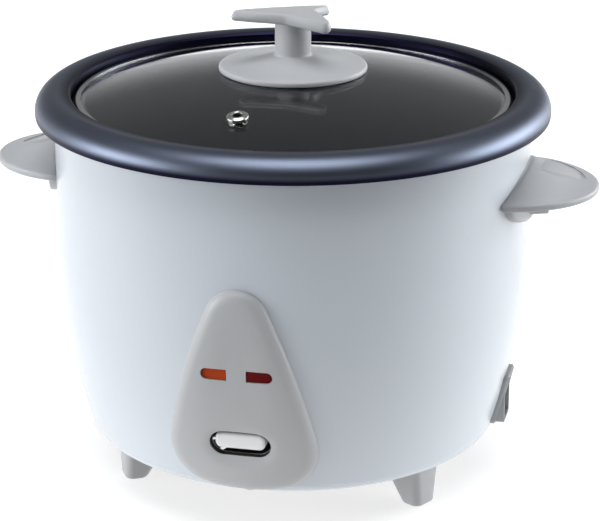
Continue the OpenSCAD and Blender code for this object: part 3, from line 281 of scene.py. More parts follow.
def combine(piece: Piece, other: Piece, how: Join = Join.CUT) -> None:
    """Cut a second closed shape out of a piece or add it, and discard the second.

    Args:
        piece: the piece to change.
        other: the shape that is cut out or added.
        how: whether it is cut out or added.
    """
    take_up(piece)
    modifier = piece.modifiers.new("boolean", "BOOLEAN")
    modifier.object, modifier.operation, modifier.solver = other, how.value, "EXACT"
    bpy.ops.object.modifier_apply(modifier=modifier.name)
    bpy.data.objects.remove(other)
    edit(piece)
    weld()
    clear_selection()


def arc(
    centre: Point, radius: float, start: float, end: float, steps: int, tall: float = 0.0
) -> list[Point]:
    """List points along an arc.

    Args:
        centre: the arc's centre.
        radius: its radius.
        start: angle of the first point, in degrees.
        end: angle of the last point, in degrees.
        steps: number of chords.
        tall: the radius upwards, if it is another one.

    Returns:
        The points from start to end.
    """
    turns = [math.radians(start + (end - start) * k / steps) for k in range(steps + 1)]
    x, y = centre
    return [(x + radius * math.cos(a), y + (tall or radius) * math.sin(a)) for a in turns]


def soften(corners: Sequence[Triple], closed: bool = False) -> list[Point]:
    """Round the corners of a line.

    Args:
        corners: each corner as two coordinates and the radius of its round.
        closed: whether the last corner leads back to the first.

    Returns:
        The points of the rounded line.
    """
    points: list[Point] = []
    count = len(corners)
    for k, (a, b, radius) in enumerate(corners):
        here = Vector((a, b))
        if radius <= 0 or (not closed and k in (0, count - 1)):
            points.append((a, b))
            continue
        before = (Vector(corners[k - 1][:2]) - here).normalized()
        after = (Vector(corners[(k + 1) % count][:2]) - here).normalized()
        half = before.angle(after) / 2
        reach = radius / math.tan(half)
        centre = here + (before + after).normalized() * radius / math.sin(half)
        first, last = here + before * reach - centre, here + after * reach - centre
        swing = math.atan2(first.x * last.y - first.y * last.x, first.dot(last))
        steps = max(2, math.ceil(abs(swing) / math.radians(12)))
        for step in range(steps + 1):
            turn = swing * step / steps
            points.append((
                centre.x + first.x * math.cos(turn) - first.y * math.sin(turn),
                centre.y + first.x * math.sin(turn) + first.y * math.cos(turn),
            ))
    return points


def turned(name: str, profile: Sequence[Point], steps: int = TURN_STEPS) -> Piece:
    """Turn a profile about Z into a piece.

    Args:
        name: the piece's name.
        profile: radius and height of each point, in millimetres.
        steps: facets round the piece.

    Returns:
        The turned piece, not yet settled.
    """
    piece = draw(name, [Vector((r, 0.0, z)) * MM for r, z in profile])
    weld()
    bpy.ops.mesh.spin(steps=steps, angle=2 * math.pi, center=(0.0, 0.0, 0.0), axis=ALONG_Z)
    close_mesh()
    clear_selection()
    return piece


def ring(name: str, corners: Sequence[Triple], steps: int = TURN_STEPS) -> Piece:
    """Turn a closed section, given as for soften, about Z into a ring."""
    section = soften(corners, closed=True)
    return turned(name, section + section[:1], steps)


def slab(
    name: str, outline: Sequence[Point], low: float, high: float, facing: Facing,
    face: Rounding = Rounding(), back: Rounding = Rounding(), rings: int = 0,
    middle: Point = (0.0, 0.0),
) -> Piece:
    """Model a plate from its outline, with round edges.

    Args:
        name: the piece's name.
        outline: the widest outline, in millimetres.
        low: level of the back.
        high: level of the face.
        facing: the way the face looks.
        face: the round at the face's edge.
        back: the round at the back's edge.
        rings: rings of faces inside the face and the back, 0 for one flat face.
        middle: where the rings close.

    Returns:
        The plate, not yet settled.
    """
    start = low + back.height
    piece = draw(name, [facing.place(u, v, start) for u, v in outline])
    bpy.ops.mesh.select_all(action="SELECT")
    bpy.ops.mesh.edge_face_add()
    extrude(facing.place(0.0, 0.0, high - face.height - start))
    close_mesh()
    outward = facing.place(0.0, 0.0, 1.0).normalized()
    for sign, edge, level in ((1, face, high), (-1, back, low)):
        select_facing(piece, outward * sign)
        for inset, depth in edge.cuts():
            bpy.ops.mesh.inset(thickness=inset * MM, depth=depth * MM, use_even_offset=True)
        for left in range(rings, 1, -1):
            share = (left - 1) / left
            extrude(Vector())
            bpy.ops.transform.resize(
                value=[1.0 if way else share for way in outward],
                center_override=facing.place(*middle, level),
            )
        if rings:
            bpy.ops.mesh.merge(type="CENTER")
    close_mesh()
    clear_selection()
    return piece


def block(
    name: str, size: Point, corner: float, middle: Point, *rest: object, **more: object
) -> Piece:
    """Model a slab whose outline is a rectangle with round corners.

    Args:
        name: the piece's name.
        size: the rectangle's size across and along.
        corner: radius of its corners.
        middle: its middle, where rings close.
        rest: the slab's levels, facing and rounds.
        more: what else slab takes, by name.

    Returns:
        The slab, not yet settled.
    """
    w, h = size[0] / 2, size[1] / 2
    spots = ((-w, -h), (w, -h), (w, h), (-w, h))
    outline = soften([(middle[0] + x, middle[1] + y, corner) for x, y in spots], closed=True)
    return slab(name, outline, *rest, **more, middle=middle)


# ---------- finishes ----------


@dataclass(frozen=True)
class Board:
    """A node tree, with calls that add nodes to it and return what they give."""

    tree: bpy.types.NodeTree  # the node tree of a material or of the world

    def feed(self, node: bpy.types.Node, inputs: Inputs) -> None:
        """Link or set a node's inputs.

        Args:
            node: the node to feed.
            inputs: a socket or a value for each input that isn't left as it is.
        """
        for key, given in inputs.items():
            if isinstance(given, Socket):
                self.tree.links.new(given, node.inputs[key])
            else:
                node.inputs[key].default_value = given

    def add(self, kind: str, output: str, inputs: Inputs, **settings: str) -> Socket:
        """Add a node.

        Args:
            kind: the node's type without ShaderNode in front.
            output: the output wanted.
            inputs: a socket or a value for each input that isn't left as it is.
            settings: the node's own settings.

        Returns:
            The output's socket.
        """
        node = self.tree.nodes.new(f"ShaderNode{kind}")
        for setting, value in settings.items():
            setattr(node, setting, value)
        self.feed(node, inputs)
        return node.outputs[output]

    def noise(self, place: Socket, scale: float, detail: float) -> Socket:
        """Add noise with so many features a metre and octaves of finer noise."""
        return self.add("TexNoise", "Fac", {"Scale": scale, "Detail": detail, "Vector": place})

    def stretched(self, place: Socket, scale: Triple) -> Socket:
        """Scale coordinates differently along X, Y and Z."""
        return self.add("Mapping", "Vector", {"Scale": scale, "Vector": place})

    def length(self, place: Socket, scale: Triple) -> Socket:
        """Measure coordinates once they are scaled along X, Y and Z."""
        scaled = self.stretched(place, scale)
        return self.add("VectorMath", "Value", {0: scaled}, operation="LENGTH")

    def ramp(self, value: Socket, span: Point, power: Point = (0.0, 1.0)) -> Socket:
        """Lead a value softly from one power to another.

        Args:
            value: the value that leads.
            span: the two values between which the power changes.
            power: the power at either end.

        Returns:
            The power's socket.
        """
        ends = {"From Min": span[0], "From Max": span[1], "To Min": power[0], "To Max": power[1]}
        return self.add(
            "MapRange", "Result", {**ends, "Value": value}, interpolation_type="SMOOTHSTEP"
        )

    def join(self, operation: str, first: Socket, second: Socket) -> Socket:
        """Add or multiply two values."""
        return self.add("Math", "Value", {0: first, 1: second}, operation=operation)

    def mixed(self, share: Socket, first: object, second: object) -> Socket:
        """Mix two colours, the share being the second's."""
        inputs = {"Factor": share, "A": first, "B": second}
        return self.add("Mix", "Result", inputs, data_type="RGBA")

    def glow(self, place: Socket, toward: Triple, span: Point, power: Point) -> Socket:
        """Add a soft patch of brightness.

        Args:
            place: direction or place looked at.
            toward: the way to the patch's middle.
            span: how far that way the patch's edge and its full strength are.
            power: brightness at the edge and at full strength.

        Returns:
            The patch's brightness.
        """
        inputs = {0: place, 1: Vector(toward).normalized()}
        reach = self.add("VectorMath", "Value", inputs, operation="DOT_PRODUCT")
        return self.ramp(reach, span, power)


class Grain(Enum):
    """What a finish shows close up."""

    PEEL = "smooth paint with a faint orange peel"
    MOULD = "fine texture of a plastic mould"
    BRUSHED = "straight brush lines along X"
    TURNED = "rings left by a lathe or a spinning tool"
    CAST = "sand-like skin of a casting"
    ROLLED = "long soft streaks of rolled sheet"
    SPECKLE = "small flecks in a coating"
    POLISHED = "a faint haze on a polished face"


@dataclass(frozen=True)
class Finish:
    """A procedural finish: colour with slow variation, uneven gloss and a fine relief, with
    painted shade where set.
    """

    name: str  # the finish's name
    colour: Triple  # main linear colour
    shade: Triple  # second linear colour, mixed in slowly over the surface
    grain: Grain  # what the surface shows close up
    size: float  # size of the grain in millimetres
    relief: float  # height of the grain in millimetres
    gloss: Point  # lowest and highest roughness
    metal: float = 0.0  # metallic share
    coat: float = 0.0  # clear coat share
    coat_gloss: float = 0.05  # roughness of the clear coat
    clear: float = 0.0  # share of light let through
    shine: float = 0.5  # strength of the mirror reflection
    drift: float = 40.0  # size of the slow colour variation in millimetres
    painted_shade: Optional[Triple] = None  # painted shade: colour it darkens to lower down and further in, standing in for shade there, or None
    painted_shade_heights: Point = (0.0, 0.0)  # heights in millimetres between which the painted shade darkens it
    painted_shade_radii: Point = (0.0, 0.0)  # distances from Z between which the painted shade darkens it

    def material(self) -> bpy.types.Material:
        """Build the finish's material, or return it if it's there already.

        Returns:
            The material.
        """
        title = f"{self.name}_finish"
        if title in bpy.data.materials:
            return bpy.data.materials[title]
        material = bpy.data.materials.new(title)
        material.use_nodes = True
        board = Board(material.node_tree)
        place = board.add("TexCoord", "Object", {})
        slow = board.noise(place, 1.0 / (self.drift * MM), 2.0)
        fine = self.pattern(board, place)
        colour = board.mixed(slow, (*self.colour, 1.0), (*self.shade, 1.0))
        # Painted shade: lower down and further in, the colour darkens towards the painted shade
        # colour, standing in for shade.
        if self.painted_shade:
            low = board.ramp(board.length(place, ALONG_Z), tuple(v * MM for v in self.painted_shade_heights))
            far = board.ramp(board.length(place, ACROSS_Z), tuple(v * MM for v in self.painted_shade_radii))
            colour = board.mixed(board.join("MULTIPLY", low, far), (*self.painted_shade, 1.0), colour)
        gloss = {"To Min": self.gloss[0], "To Max": self.gloss[1], "Value": fine}
        relief = {"Distance": self.relief * MM, "Height": fine}
        board.feed(material.node_tree.nodes["Principled BSDF"], {
            "Base Color": colour, "Roughness": board.add("MapRange", "Result", gloss),
            "Normal": board.add("Bump", "Normal", relief), "Metallic": self.metal,
            "Specular IOR Level": self.shine, "Coat Weight": self.coat,
            "Coat Roughness": self.coat_gloss, "Transmission Weight": self.clear,
        })
        return material

    def pattern(self, board: Board, place: Socket) -> Socket:
        """Add the fine pattern that drives gloss and relief.

        Args:
            board: the material's nodes.
            place: object coordinates.

        Returns:
            The pattern's value, about 0 to 1.
        """
        scale = 1.0 / (self.size * MM)
        if self.grain is Grain.SPECKLE:
            return board.add("TexVoronoi", "Distance", {"Scale": scale, "Vector": place})
        if self.grain is Grain.TURNED:
            height = board.add("SeparateXYZ", "Z", {"Vector": place})
            away = board.length(place, ACROSS_Z)
            place = board.add("CombineXYZ", "Vector", {"X": away, "Y": height})
        stretch = {Grain.BRUSHED: (0.03, 1.0, 1.0), Grain.ROLLED: (1.0, 1.0, 0.08)}
        if self.grain in stretch:
            place = board.stretched(place, stretch[self.grain])
        detail = {Grain.PEEL: 1.0, Grain.POLISHED: 1.0, Grain.ROLLED: 4.0, Grain.CAST: 6.0}
        return board.noise(place, scale, detail.get(self.grain, 3.0))


class Paint:
    """Every finish of the cooker."""

    enamel = Finish(
        "enamel_white", (0.57, 0.61, 0.65), (0.557, 0.597, 0.637), Grain.PEEL, 1.2, 0.0015,
        (0.25, 0.28), coat=0.35, coat_gloss=0.14, drift=90.0)
    grey = Finish(
        "moulded_grey", (0.42, 0.425, 0.432), (0.40, 0.405, 0.412), Grain.MOULD, 0.5, 0.012,
        (0.38, 0.47))
    panel = Finish(
        "panel_grey", (0.43, 0.435, 0.44), (0.405, 0.41, 0.415), Grain.MOULD, 0.5, 0.010,
        (0.36, 0.44))
    key = Finish(
        "key_white", (0.80, 0.80, 0.79), (0.77, 0.77, 0.76), Grain.PEEL, 1.5, 0.004,
        (0.12, 0.18), coat=0.4)
    # The pot's dark coating, with painted shade on its lower lip and on its inner neck.
    rim = Finish(
        "coated_pot_and_painted_shade", (0.128, 0.146, 0.190), (0.112, 0.129, 0.170), Grain.SPECKLE, 0.6, 0.004,
        (0.38, 0.46), metal=1.0, painted_shade=(0.010, 0.010, 0.026), painted_shade_heights=(199.4, 202.6),
        painted_shade_radii=(117.0, 124.0))
    glass = Finish(
        "dome_glass", (0.86, 0.88, 0.88), (0.85, 0.875, 0.875), Grain.POLISHED, 60.0, 0.002,
        (0.0, 0.02), clear=1.0, drift=200.0)
    band = Finish(
        "band_steel", (0.62, 0.62, 0.61), (0.57, 0.57, 0.56), Grain.TURNED, 0.35, 0.004,
        (0.16, 0.28), metal=1.0)
    polished = Finish(
        "eyelet_steel", (0.60, 0.59, 0.57), (0.52, 0.51, 0.49), Grain.POLISHED, 0.8, 0.002,
        (0.24, 0.32), metal=1.0)
    amber = Finish(
        "amber_lens", (0.42, 0.050, 0.005), (0.34, 0.038, 0.003), Grain.PEEL, 1.2, 0.004,
        (0.30, 0.38), shine=0.12)
    red = Finish(
        "red_lens", (0.15, 0.001, 0.003), (0.11, 0.001, 0.002), Grain.PEEL, 1.2, 0.004,
        (0.30, 0.38), shine=0.10)
    inlet = Finish(
        "inlet_grey", (0.34, 0.345, 0.35), (0.31, 0.315, 0.32), Grain.MOULD, 0.5, 0.010,
        (0.34, 0.44))
    brass = Finish(
        "pin_brass", (0.72, 0.52, 0.26), (0.63, 0.45, 0.22), Grain.BRUSHED, 0.3, 0.003,
        (0.22, 0.34), metal=1.0)
    dark = Finish(
        "dark_plastic", (0.030, 0.030, 0.032), (0.024, 0.024, 0.026), Grain.MOULD, 0.5, 0.012,
        (0.42, 0.52))
    bush = Finish(
        "bush_black", (0.040, 0.037, 0.031), (0.032, 0.029, 0.024), Grain.MOULD, 0.5, 0.010,
        (0.60, 0.70), shine=0.2)
    sheet = Finish(
        "sheet_steel", (0.50, 0.505, 0.51), (0.43, 0.435, 0.44), Grain.ROLLED, 1.6, 0.006,
        (0.30, 0.42), metal=1.0, drift=30.0)
    # Dark grey paint on the cover; its darkness is partly painted shade, which keeps the cover's
    # inside wall dark where it shows inside the body.
    cover = Finish(
        "cover_enamel_and_painted_shade", (0.085, 0.083, 0.078), (0.075, 0.073, 0.069), Grain.PEEL, 1.2, 0.004,
        (0.38, 0.48))
    liner = Finish(
        "liner_steel", (0.46, 0.46, 0.45), (0.38, 0.38, 0.375), Grain.ROLLED, 2.2, 0.008,
        (0.32, 0.46), metal=1.0, drift=35.0)
    cast = Finish(
        "cast_heater", (0.52, 0.525, 0.53), (0.44, 0.445, 0.45), Grain.CAST, 1.4, 0.03,
        (0.42, 0.58), metal=1.0)
    lever = Finish(
        "lever_steel", (0.15, 0.14, 0.12), (0.11, 0.10, 0.085), Grain.ROLLED, 1.4, 0.006,
        (0.42, 0.55), metal=1.0, drift=20.0)
    element = Finish(
        "element_steel", (0.27, 0.25, 0.23), (0.20, 0.185, 0.17), Grain.ROLLED, 1.2, 0.006,
        (0.35, 0.50), metal=1.0, drift=20.0)
    aluminium = Finish(
        "cap_aluminium", (0.70, 0.70, 0.70), (0.64, 0.64, 0.64), Grain.TURNED, 0.3, 0.004,
        (0.22, 0.34), metal=1.0)
    spring = Finish(
        "spring_steel", (0.47, 0.47, 0.46), (0.40, 0.40, 0.39), Grain.POLISHED, 0.6, 0.003,
        (0.20, 0.32), metal=1.0)
    screw = Finish(
        "screw_steel", (0.58, 0.58, 0.57), (0.50, 0.50, 0.49), Grain.CAST, 0.4, 0.006,
        (0.26, 0.40), metal=1.0, drift=6.0)
    ferrite = Finish(
        "ferrite_black", (0.050, 0.048, 0.048), (0.035, 0.034, 0.034), Grain.CAST, 0.6, 0.015,
        (0.50, 0.65))
    phenolic = Finish(
        "switch_phenolic", (0.10, 0.045, 0.022), (0.075, 0.034, 0.018), Grain.SPECKLE, 0.5, 0.006,
        (0.34, 0.46))
    plunger = Finish(
        "plunger_white", (0.72, 0.72, 0.70), (0.66, 0.66, 0.64), Grain.MOULD, 0.5, 0.006,
        (0.35, 0.45))
    ceramic = Finish(
        "block_ceramic", (0.74, 0.72, 0.67), (0.68, 0.66, 0.61), Grain.CAST, 0.8, 0.02,
        (0.30, 0.50))
    sleeve = Finish(
        "glass_sleeve", (0.66, 0.65, 0.60), (0.56, 0.55, 0.50), Grain.SPECKLE, 0.7, 0.02,
        (0.55, 0.70))
    fuse = Finish(
        "fuse_sleeve", (0.60, 0.58, 0.50), (0.50, 0.48, 0.42), Grain.SPECKLE, 0.6, 0.02,
        (0.55, 0.70))
    seal = Finish(
        "seal_compound", (0.020, 0.020, 0.021), (0.016, 0.016, 0.017), Grain.CAST, 0.7, 0.01,
        (0.45, 0.60))
    rubber = Finish(
        "washer_rubber", (0.12, 0.12, 0.12), (0.10, 0.10, 0.10), Grain.MOULD, 0.4, 0.010,
        (0.60, 0.72))
    lamp_amber = Finish(
        "lamp_amber", (0.75, 0.22, 0.03), (0.68, 0.18, 0.02), Grain.POLISHED, 1.0, 0.002,
        (0.05, 0.12), clear=0.4)
    lamp_red = Finish(
        "lamp_red", (0.60, 0.02, 0.015), (0.52, 0.015, 0.012), Grain.POLISHED, 1.0, 0.002,
        (0.05, 0.12), clear=0.4)
    floor = Finish(
        "studio_floor", (0.42, 0.42, 0.42), (0.415, 0.415, 0.415), Grain.MOULD, 4.0, 0.002,
        (0.85, 0.95), drift=400.0)


def hand_over(
    piece: Piece, finish: Finish, body: str, slot: str, *nodes: str, angle: float = CREASE
) -> None:
    """Settle and dress a piece, put it on its body and hide the nodes it stands for.

    Args:
        piece: the piece as modelled.
        finish: its finish.
        body: the CAD body it rides on.
        slot: not used.
        nodes: the CAD nodes it replaces.
        angle: edges sharper than this many degrees stay sharp.
    """
    settle(piece, angle)
    piece.data.materials.clear()
    piece.data.materials.append(finish.material())
    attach(piece, body)
    if nodes:
        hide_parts(*nodes)
    LOG.info("%s: %d faces in %s", piece.name, len(piece.data.polygons), finish.name)


# ---------- the drum's shape ----------


@dataclass(frozen=True)
class DrumSide:
    """The drum's outer wall, which the panel, handles and inlet follow."""

    radius: float = 125.0  # radius of the straight upper part
    curve_top: float = 132.5  # height where the wall starts to curve in
    curve: float = 353.0  # radius of the long curve

    def at(self, height: float) -> float:
        """Measure the wall's radius.

        Args:
            height: height over the table, in millimetres.

        Returns:
            The radius there, in millimetres.
        """
        if height >= self.curve_top:
            return self.radius
        drop = self.curve_top - height
        return self.radius - self.curve + math.sqrt(self.curve**2 - drop**2)

    def wrap(
        self, piece: Piece, facing: Facing,
        level: Callable[[float, float, float], float] = lambda across, along, out: out,
    ) -> Piece:
        """Bend a flat slab round the drum, so that its out distance counts from the wall.

        Args:
            piece: a slab drawn facing the front or the right.
            facing: the way it faces.
            level: changes a point's distance from the wall.

        Returns:
            The same piece.
        """

        def bend(point: Vector) -> Vector:
            """Move a point of the slab on to the wall.

            Args:
                point: where it is on the flat slab.

            Returns:
                Where it comes to.
            """
            across, along, out = facing.flat(point)
            reach = self.at(along) + level(across, along, out)
            return facing.place(across, along, math.sqrt(reach**2 - across**2))

        return reshape(piece, bend)


SIDE = DrumSide()


def fall(value: float, inner: float, outer: float) -> float:
    """Return 1 below inner, 0 above outer and a smooth slope between."""
    share = min(1.0, max(0.0, (outer - value) / (outer - inner)))
    return share * share * (3 - 2 * share)


# ---------- sub-assemblies ----------


class Assembly:
    """A sub-assembly: pieces modelled here, and CAD nodes that keep their shape."""

    kept: dict[str, Finish] = {}

    def build(self) -> None:
        """Model the sub-assembly's own pieces."""

    def dress(self) -> None:
        """Finish the CAD nodes that keep their shape."""
        for node, finish in self.kept.items():
            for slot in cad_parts[node].material_slots:
                slot.material = finish.material()
            LOG.info("%s keeps its CAD shape in %s", node, finish.name)


@dataclass
class Shell(Assembly):
    """The painted drum, its bottom cover and the three feet."""

    kept = {
        "outer_body": Paint.enamel, "bottom_cover": Paint.cover, "foot_screws": Paint.screw,
        "cover_screws": Paint.screw,
    }
    toe: float = 96.5  # distance of a foot's outer face from the axis
    toe_lean: float = 0.5  # how far that face leans in towards the floor
    foot_size: Point = (28.0, 21.0)  # depth and width of a foot's top
    foot_base: Point = (12.0, 15.5)  # depth and width where it stands
    foot_top: float = 25.0  # height of its top
    foot_corner: float = 4.4  # radius of its upright edges
    sections: int = 6  # number of lengths a foot's height is cut into
    # name and angle of each foot
    feet: tuple[tuple[str, float], ...] = (
        ("foot_front_left", -150.0), ("foot_front_right", -30.0), ("foot_rear", 90.0),
    )

    def model_foot(self) -> Piece:
        """Model one tapered foot with its outer face upright, on +X.

        Returns:
            The foot, not yet settled.
        """
        depth, width = self.foot_size
        foot = block(
            "first_foot", self.foot_size, self.foot_corner, (0.0, 0.0), 0.0, self.foot_top, UP,
            back=Rounding(1.6, 1.4, 5),
        )
        levels = [self.foot_top * MM * k / self.sections for k in range(1, self.sections)]
        slice_across(foot, ALONG_Z, levels)

        def taper(point: Vector) -> Vector:
            """Lean and narrow the foot towards the table.

            Args:
                point: a point of the straight block.

            Returns:
                Its new place.
            """
            x, y, z = UP.flat(point)
            share = 1.0 - z / self.foot_top
            toe = self.toe - self.toe_lean * share
            heel = toe - depth + (depth - self.foot_base[0]) * share
            slim = (width - self.foot_base[1]) / 2 * share
            along = toe + x - depth / 2 if x > 0 else heel + x + depth / 2
            return UP.place(along, y - math.copysign(slim, y), z)

        return reshape(foot, taper)

    def build(self) -> None:
        """Model a foot and place copies of it under the cover."""
        first = self.model_foot()
        for name, turn in self.feet:
            foot = copy_of(first, name.replace("foot", "tapered_foot"))
            foot.rotation_euler.z = math.radians(turn)
            hand_over(foot, Paint.grey, "base", "grey_plastic", name)
        bpy.data.objects.remove(first)


@dataclass
class Panel(Assembly):
    """The control panel with its lenses, lamps and key."""

    kept = {
        "panel_screws": Paint.screw, "lamp_amber": Paint.lamp_amber, "lamp_red": Paint.lamp_red,
        "lamp_holder": Paint.dark,
    }
    tip: Point = (124.7, 16.5)  # centre height and radius of the upper end
    corner: Triple = (15.3, 53.5, 23.0)  # centre and radius of the lower right corner
    side_radius: float = 330.0  # radius of the long sides
    base: Point = (139.14, 110.0)  # centre height and radius of the lower edge
    proud: float = 5.0  # how far the face stands out from the drum
    wall: float = 0.8  # height of the straight edge
    round: Rounding = Rounding(6.5, 4.2, 9)  # the soft edge of the face
    hollow: float = 0.9  # depth of the dish down the middle
    finger: float = 1.7  # depth of the dish for a finger at the slot
    lens_level: float = 97.0  # height of the lenses
    lens_place: float = 11.6  # distance of a lens from the middle
    lens_size: Point = (13.0, 6.0)  # width and height of a lens
    rib: Point = (0.45, 0.14)  # pitch and depth of the ribs on a lens
    channel: Point = (41.2, 12.0)  # width and height of the channel the lenses lie in
    channel_depth: float = 1.4  # depth of that channel
    slot: Point = (31.6, 14.0)  # width and height of the key's slot
    slot_level: float = 57.3  # height of the slot's middle
    # distances from the axis between which a cutter goes right through
    through: Point = (90.0, 140.0)
    key_size: Point = (25.8, 8.8)  # width and height of the key
    key_level: float = 59.0  # height of the key's middle
    key_reach: Point = (107.5, 120.2)  # distances of the key's back and face from the axis
    stem_top: float = 59.5  # height of the stem's top
    stem_width: float = 16.0  # width of the stem
    stem_reach: float = 109.0  # distance of the stem's face from the axis

    def outline(self) -> list[Point]:
        """Draw the rounded triangle as four arcs that touch each other.

        Returns:
            The outline's points.
        """
        top = Vector((0.0, self.tip[0]))
        wide = Vector(self.corner[:2])
        span = wide - top
        tip_leg = self.side_radius - self.tip[1]
        corner_leg = self.side_radius - self.corner[2]
        reach = (tip_leg**2 - corner_leg**2 + span.length_squared) / (2 * span.length)
        away = math.sqrt(tip_leg**2 - reach**2)
        unit = span.normalized()
        centre = top + reach * unit + away * Vector((unit.y, -unit.x))
        tip_turn = math.degrees(math.atan2(top.y - centre.y, top.x - centre.x))
        corner_turn = math.degrees(math.atan2(wide.y - centre.y, wide.x - centre.x))
        base_turn = math.degrees(math.atan2(wide.y - self.base[0], wide.x))
        right = (
            arc((0.0, self.base[0]), self.base[1], -90, base_turn, 6)[:-1]
            + arc(tuple(wide), self.corner[2], base_turn, corner_turn, 22)[:-1]
            + arc(tuple(centre), self.side_radius, corner_turn, tip_turn, 16)[:-1]
            + arc((0.0, self.tip[0]), self.tip[1], tip_turn, 90, 16)
        )
        return right + [(-x, z) for x, z in reversed(right[1:-1])]

    def level(self, across: float, along: float, out: float) -> float:
        """Dish the face: a shallow hollow down the middle and one for a finger at the slot.

        Args:
            across: distance from the panel's middle.
            along: height.
            out: distance from the drum before dishing.

        Returns:
            Distance from the drum.
        """
        share = max(0.0, (out - self.wall) / (self.proud - self.wall)) ** 3
        half = 12.0 + 18.0 * fall(along, 45.0, 125.0)
        middle = fall(abs(across) / half, 0.15, 1.0) * fall(abs(along - 82.0), 10.0, 52.0)
        to_slot = math.hypot(across / 20.5, (along - 56.0) / 13.8)
        return out - share * (self.hollow * middle + self.finger * fall(to_slot, 0.52, 1.0))

    def slot_plug(self, name: str, trim: float, reach: Point, rings: int = 0) -> Piece:
        """Model a plug in the shape of the key's slot.

        Args:
            name: the plug's name.
            trim: how much narrower and lower than the slot.
            reach: levels of its back and face.
            rings: rings of faces on each.

        Returns:
            The plug, not yet settled.
        """
        width, height = self.slot[0] - trim, self.slot[1] - trim
        middle = (0.0, self.slot_level)
        corner = height / 2 - 0.01
        return block(name, (width, height), corner, middle, *reach, FRONT, rings=rings)

    def lens_outline(self, sign: int, grow: float) -> list[Point]:
        """Outline a lens: round at its outer end, square at its inner end.

        Args:
            sign: -1 for the left lens and 1 for the right.
            grow: how much larger than the lens on every side.

        Returns:
            The outline's points.
        """
        w, h = self.lens_size[0] / 2 + grow, self.lens_size[1] / 2 + grow
        corners = ((-w, -h, 0.4), (w, -h, h * 0.96), (w, h, h * 0.96), (-w, h, 0.4))
        points = soften(corners, closed=True)
        return [(sign * (self.lens_place + x), self.lens_level + z) for x, z in points]

    def model_face(self) -> Piece:
        """Model the panel's body and cut its channel, windows and slot.

        Returns:
            The panel, not yet settled.
        """
        panel = slab(
            "control_face", self.outline(), 0.02, self.proud, FRONT, self.round, rings=26,
            middle=(0.0, 76.0),
        )
        SIDE.wrap(panel, FRONT, self.level)
        channel = block(
            "channel_cut", self.channel, self.channel[1] / 2 - 0.01, (0.0, self.lens_level),
            self.proud - self.channel_depth - 0.9, self.proud + 4.0, FRONT,
            back=Rounding(2.6, 1.9, 6), rings=8,
        )
        combine(panel, SIDE.wrap(channel, FRONT))
        for sign in (-1, 1):
            window = self.lens_outline(sign, 0.12)
            combine(panel, slab("window_cut", window, *self.through, FRONT))
        combine(panel, self.slot_plug("slot_cut", 0.0, self.through))
        return panel

    def model_bush(self) -> Piece:
        """Model the thin dark bush that lines the key's slot.

        Returns:
            The bush, not yet settled.
        """
        bush = SIDE.wrap(self.slot_plug("slot_bush", 0.04, (0.05, 2.9), 4), FRONT)
        combine(bush, SIDE.wrap(self.slot_plug("bush_bore", 0.74, (-3.0, 6.0), 4), FRONT))
        return bush

    def model_lens(self, name: str, sign: int) -> Piece:
        """Model a lens with upright ribs on its face.

        Args:
            name: the piece's name.
            sign: -1 for the left lens and 1 for the right.

        Returns:
            The lens, not yet settled.
        """
        top = self.proud - self.channel_depth + 0.25
        pitch, depth = self.rib
        edge = Rounding(0.35, 0.35, 3)
        lens = slab(name, self.lens_outline(sign, 0.0), 0.5, top, FRONT, edge)
        count = int(self.lens_size[0] / pitch) - 2
        middle = sign * self.lens_place
        levels = [(middle + (k - count / 2) * pitch) * MM for k in range(count + 1)]
        slice_across(lens, (1.0, 0.0, 0.0), levels)

        def rib(across: float, along: float, out: float) -> float:
            """Sink every second cut of the lens's face.

            Args:
                across: distance across the panel.
                along: height.
                out: distance from the wall.

            Returns:
                The new distance from the wall.
            """
            step = (across - middle) / pitch + count / 2
            near = abs(step - round(step)) < 0.01 and 0 < round(step) < count
            return out - (depth if out > top - 0.01 and near and round(step) % 2 else 0.0)

        return SIDE.wrap(lens, FRONT, rib)

    def build(self) -> None:
        """Model the panel, its bush, the lenses, the key and the key's dark stem."""
        hand_over(
            self.model_face(), Paint.panel, "base", "panel_plastic", "control_panel", angle=28.0
        )
        hand_over(self.model_bush(), Paint.bush, "base", "dark_plastic", angle=28.0)
        for node, sign, finish, slot in (
            ("lens_amber", -1, Paint.amber, "amber_lens"), ("lens_red", 1, Paint.red, "red_lens"),
        ):
            lens = self.model_lens(f"ribbed_{node}", sign)
            hand_over(lens, finish, "base", slot, node, angle=20.0)
        key = block(
            "cook_bar", self.key_size, 3.4, (0.0, self.key_level), *self.key_reach, FRONT,
            Rounding(1.9, 1.5, 7), rings=6,
        )
        hand_over(key, Paint.key, "cook_lever", "key_plastic", "cook_key")
        low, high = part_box("cook_key")
        foot = low.z / MM
        stem = block(
            "key_stem", (self.stem_width, self.stem_top - foot), 0.6,
            (0.0, (self.stem_top + foot) / 2), -high.y / MM + 0.02, self.stem_reach, FRONT,
            Rounding(0.3, 0.3, 2),
        )
        hand_over(stem, Paint.dark, "cook_lever", "dark_plastic")


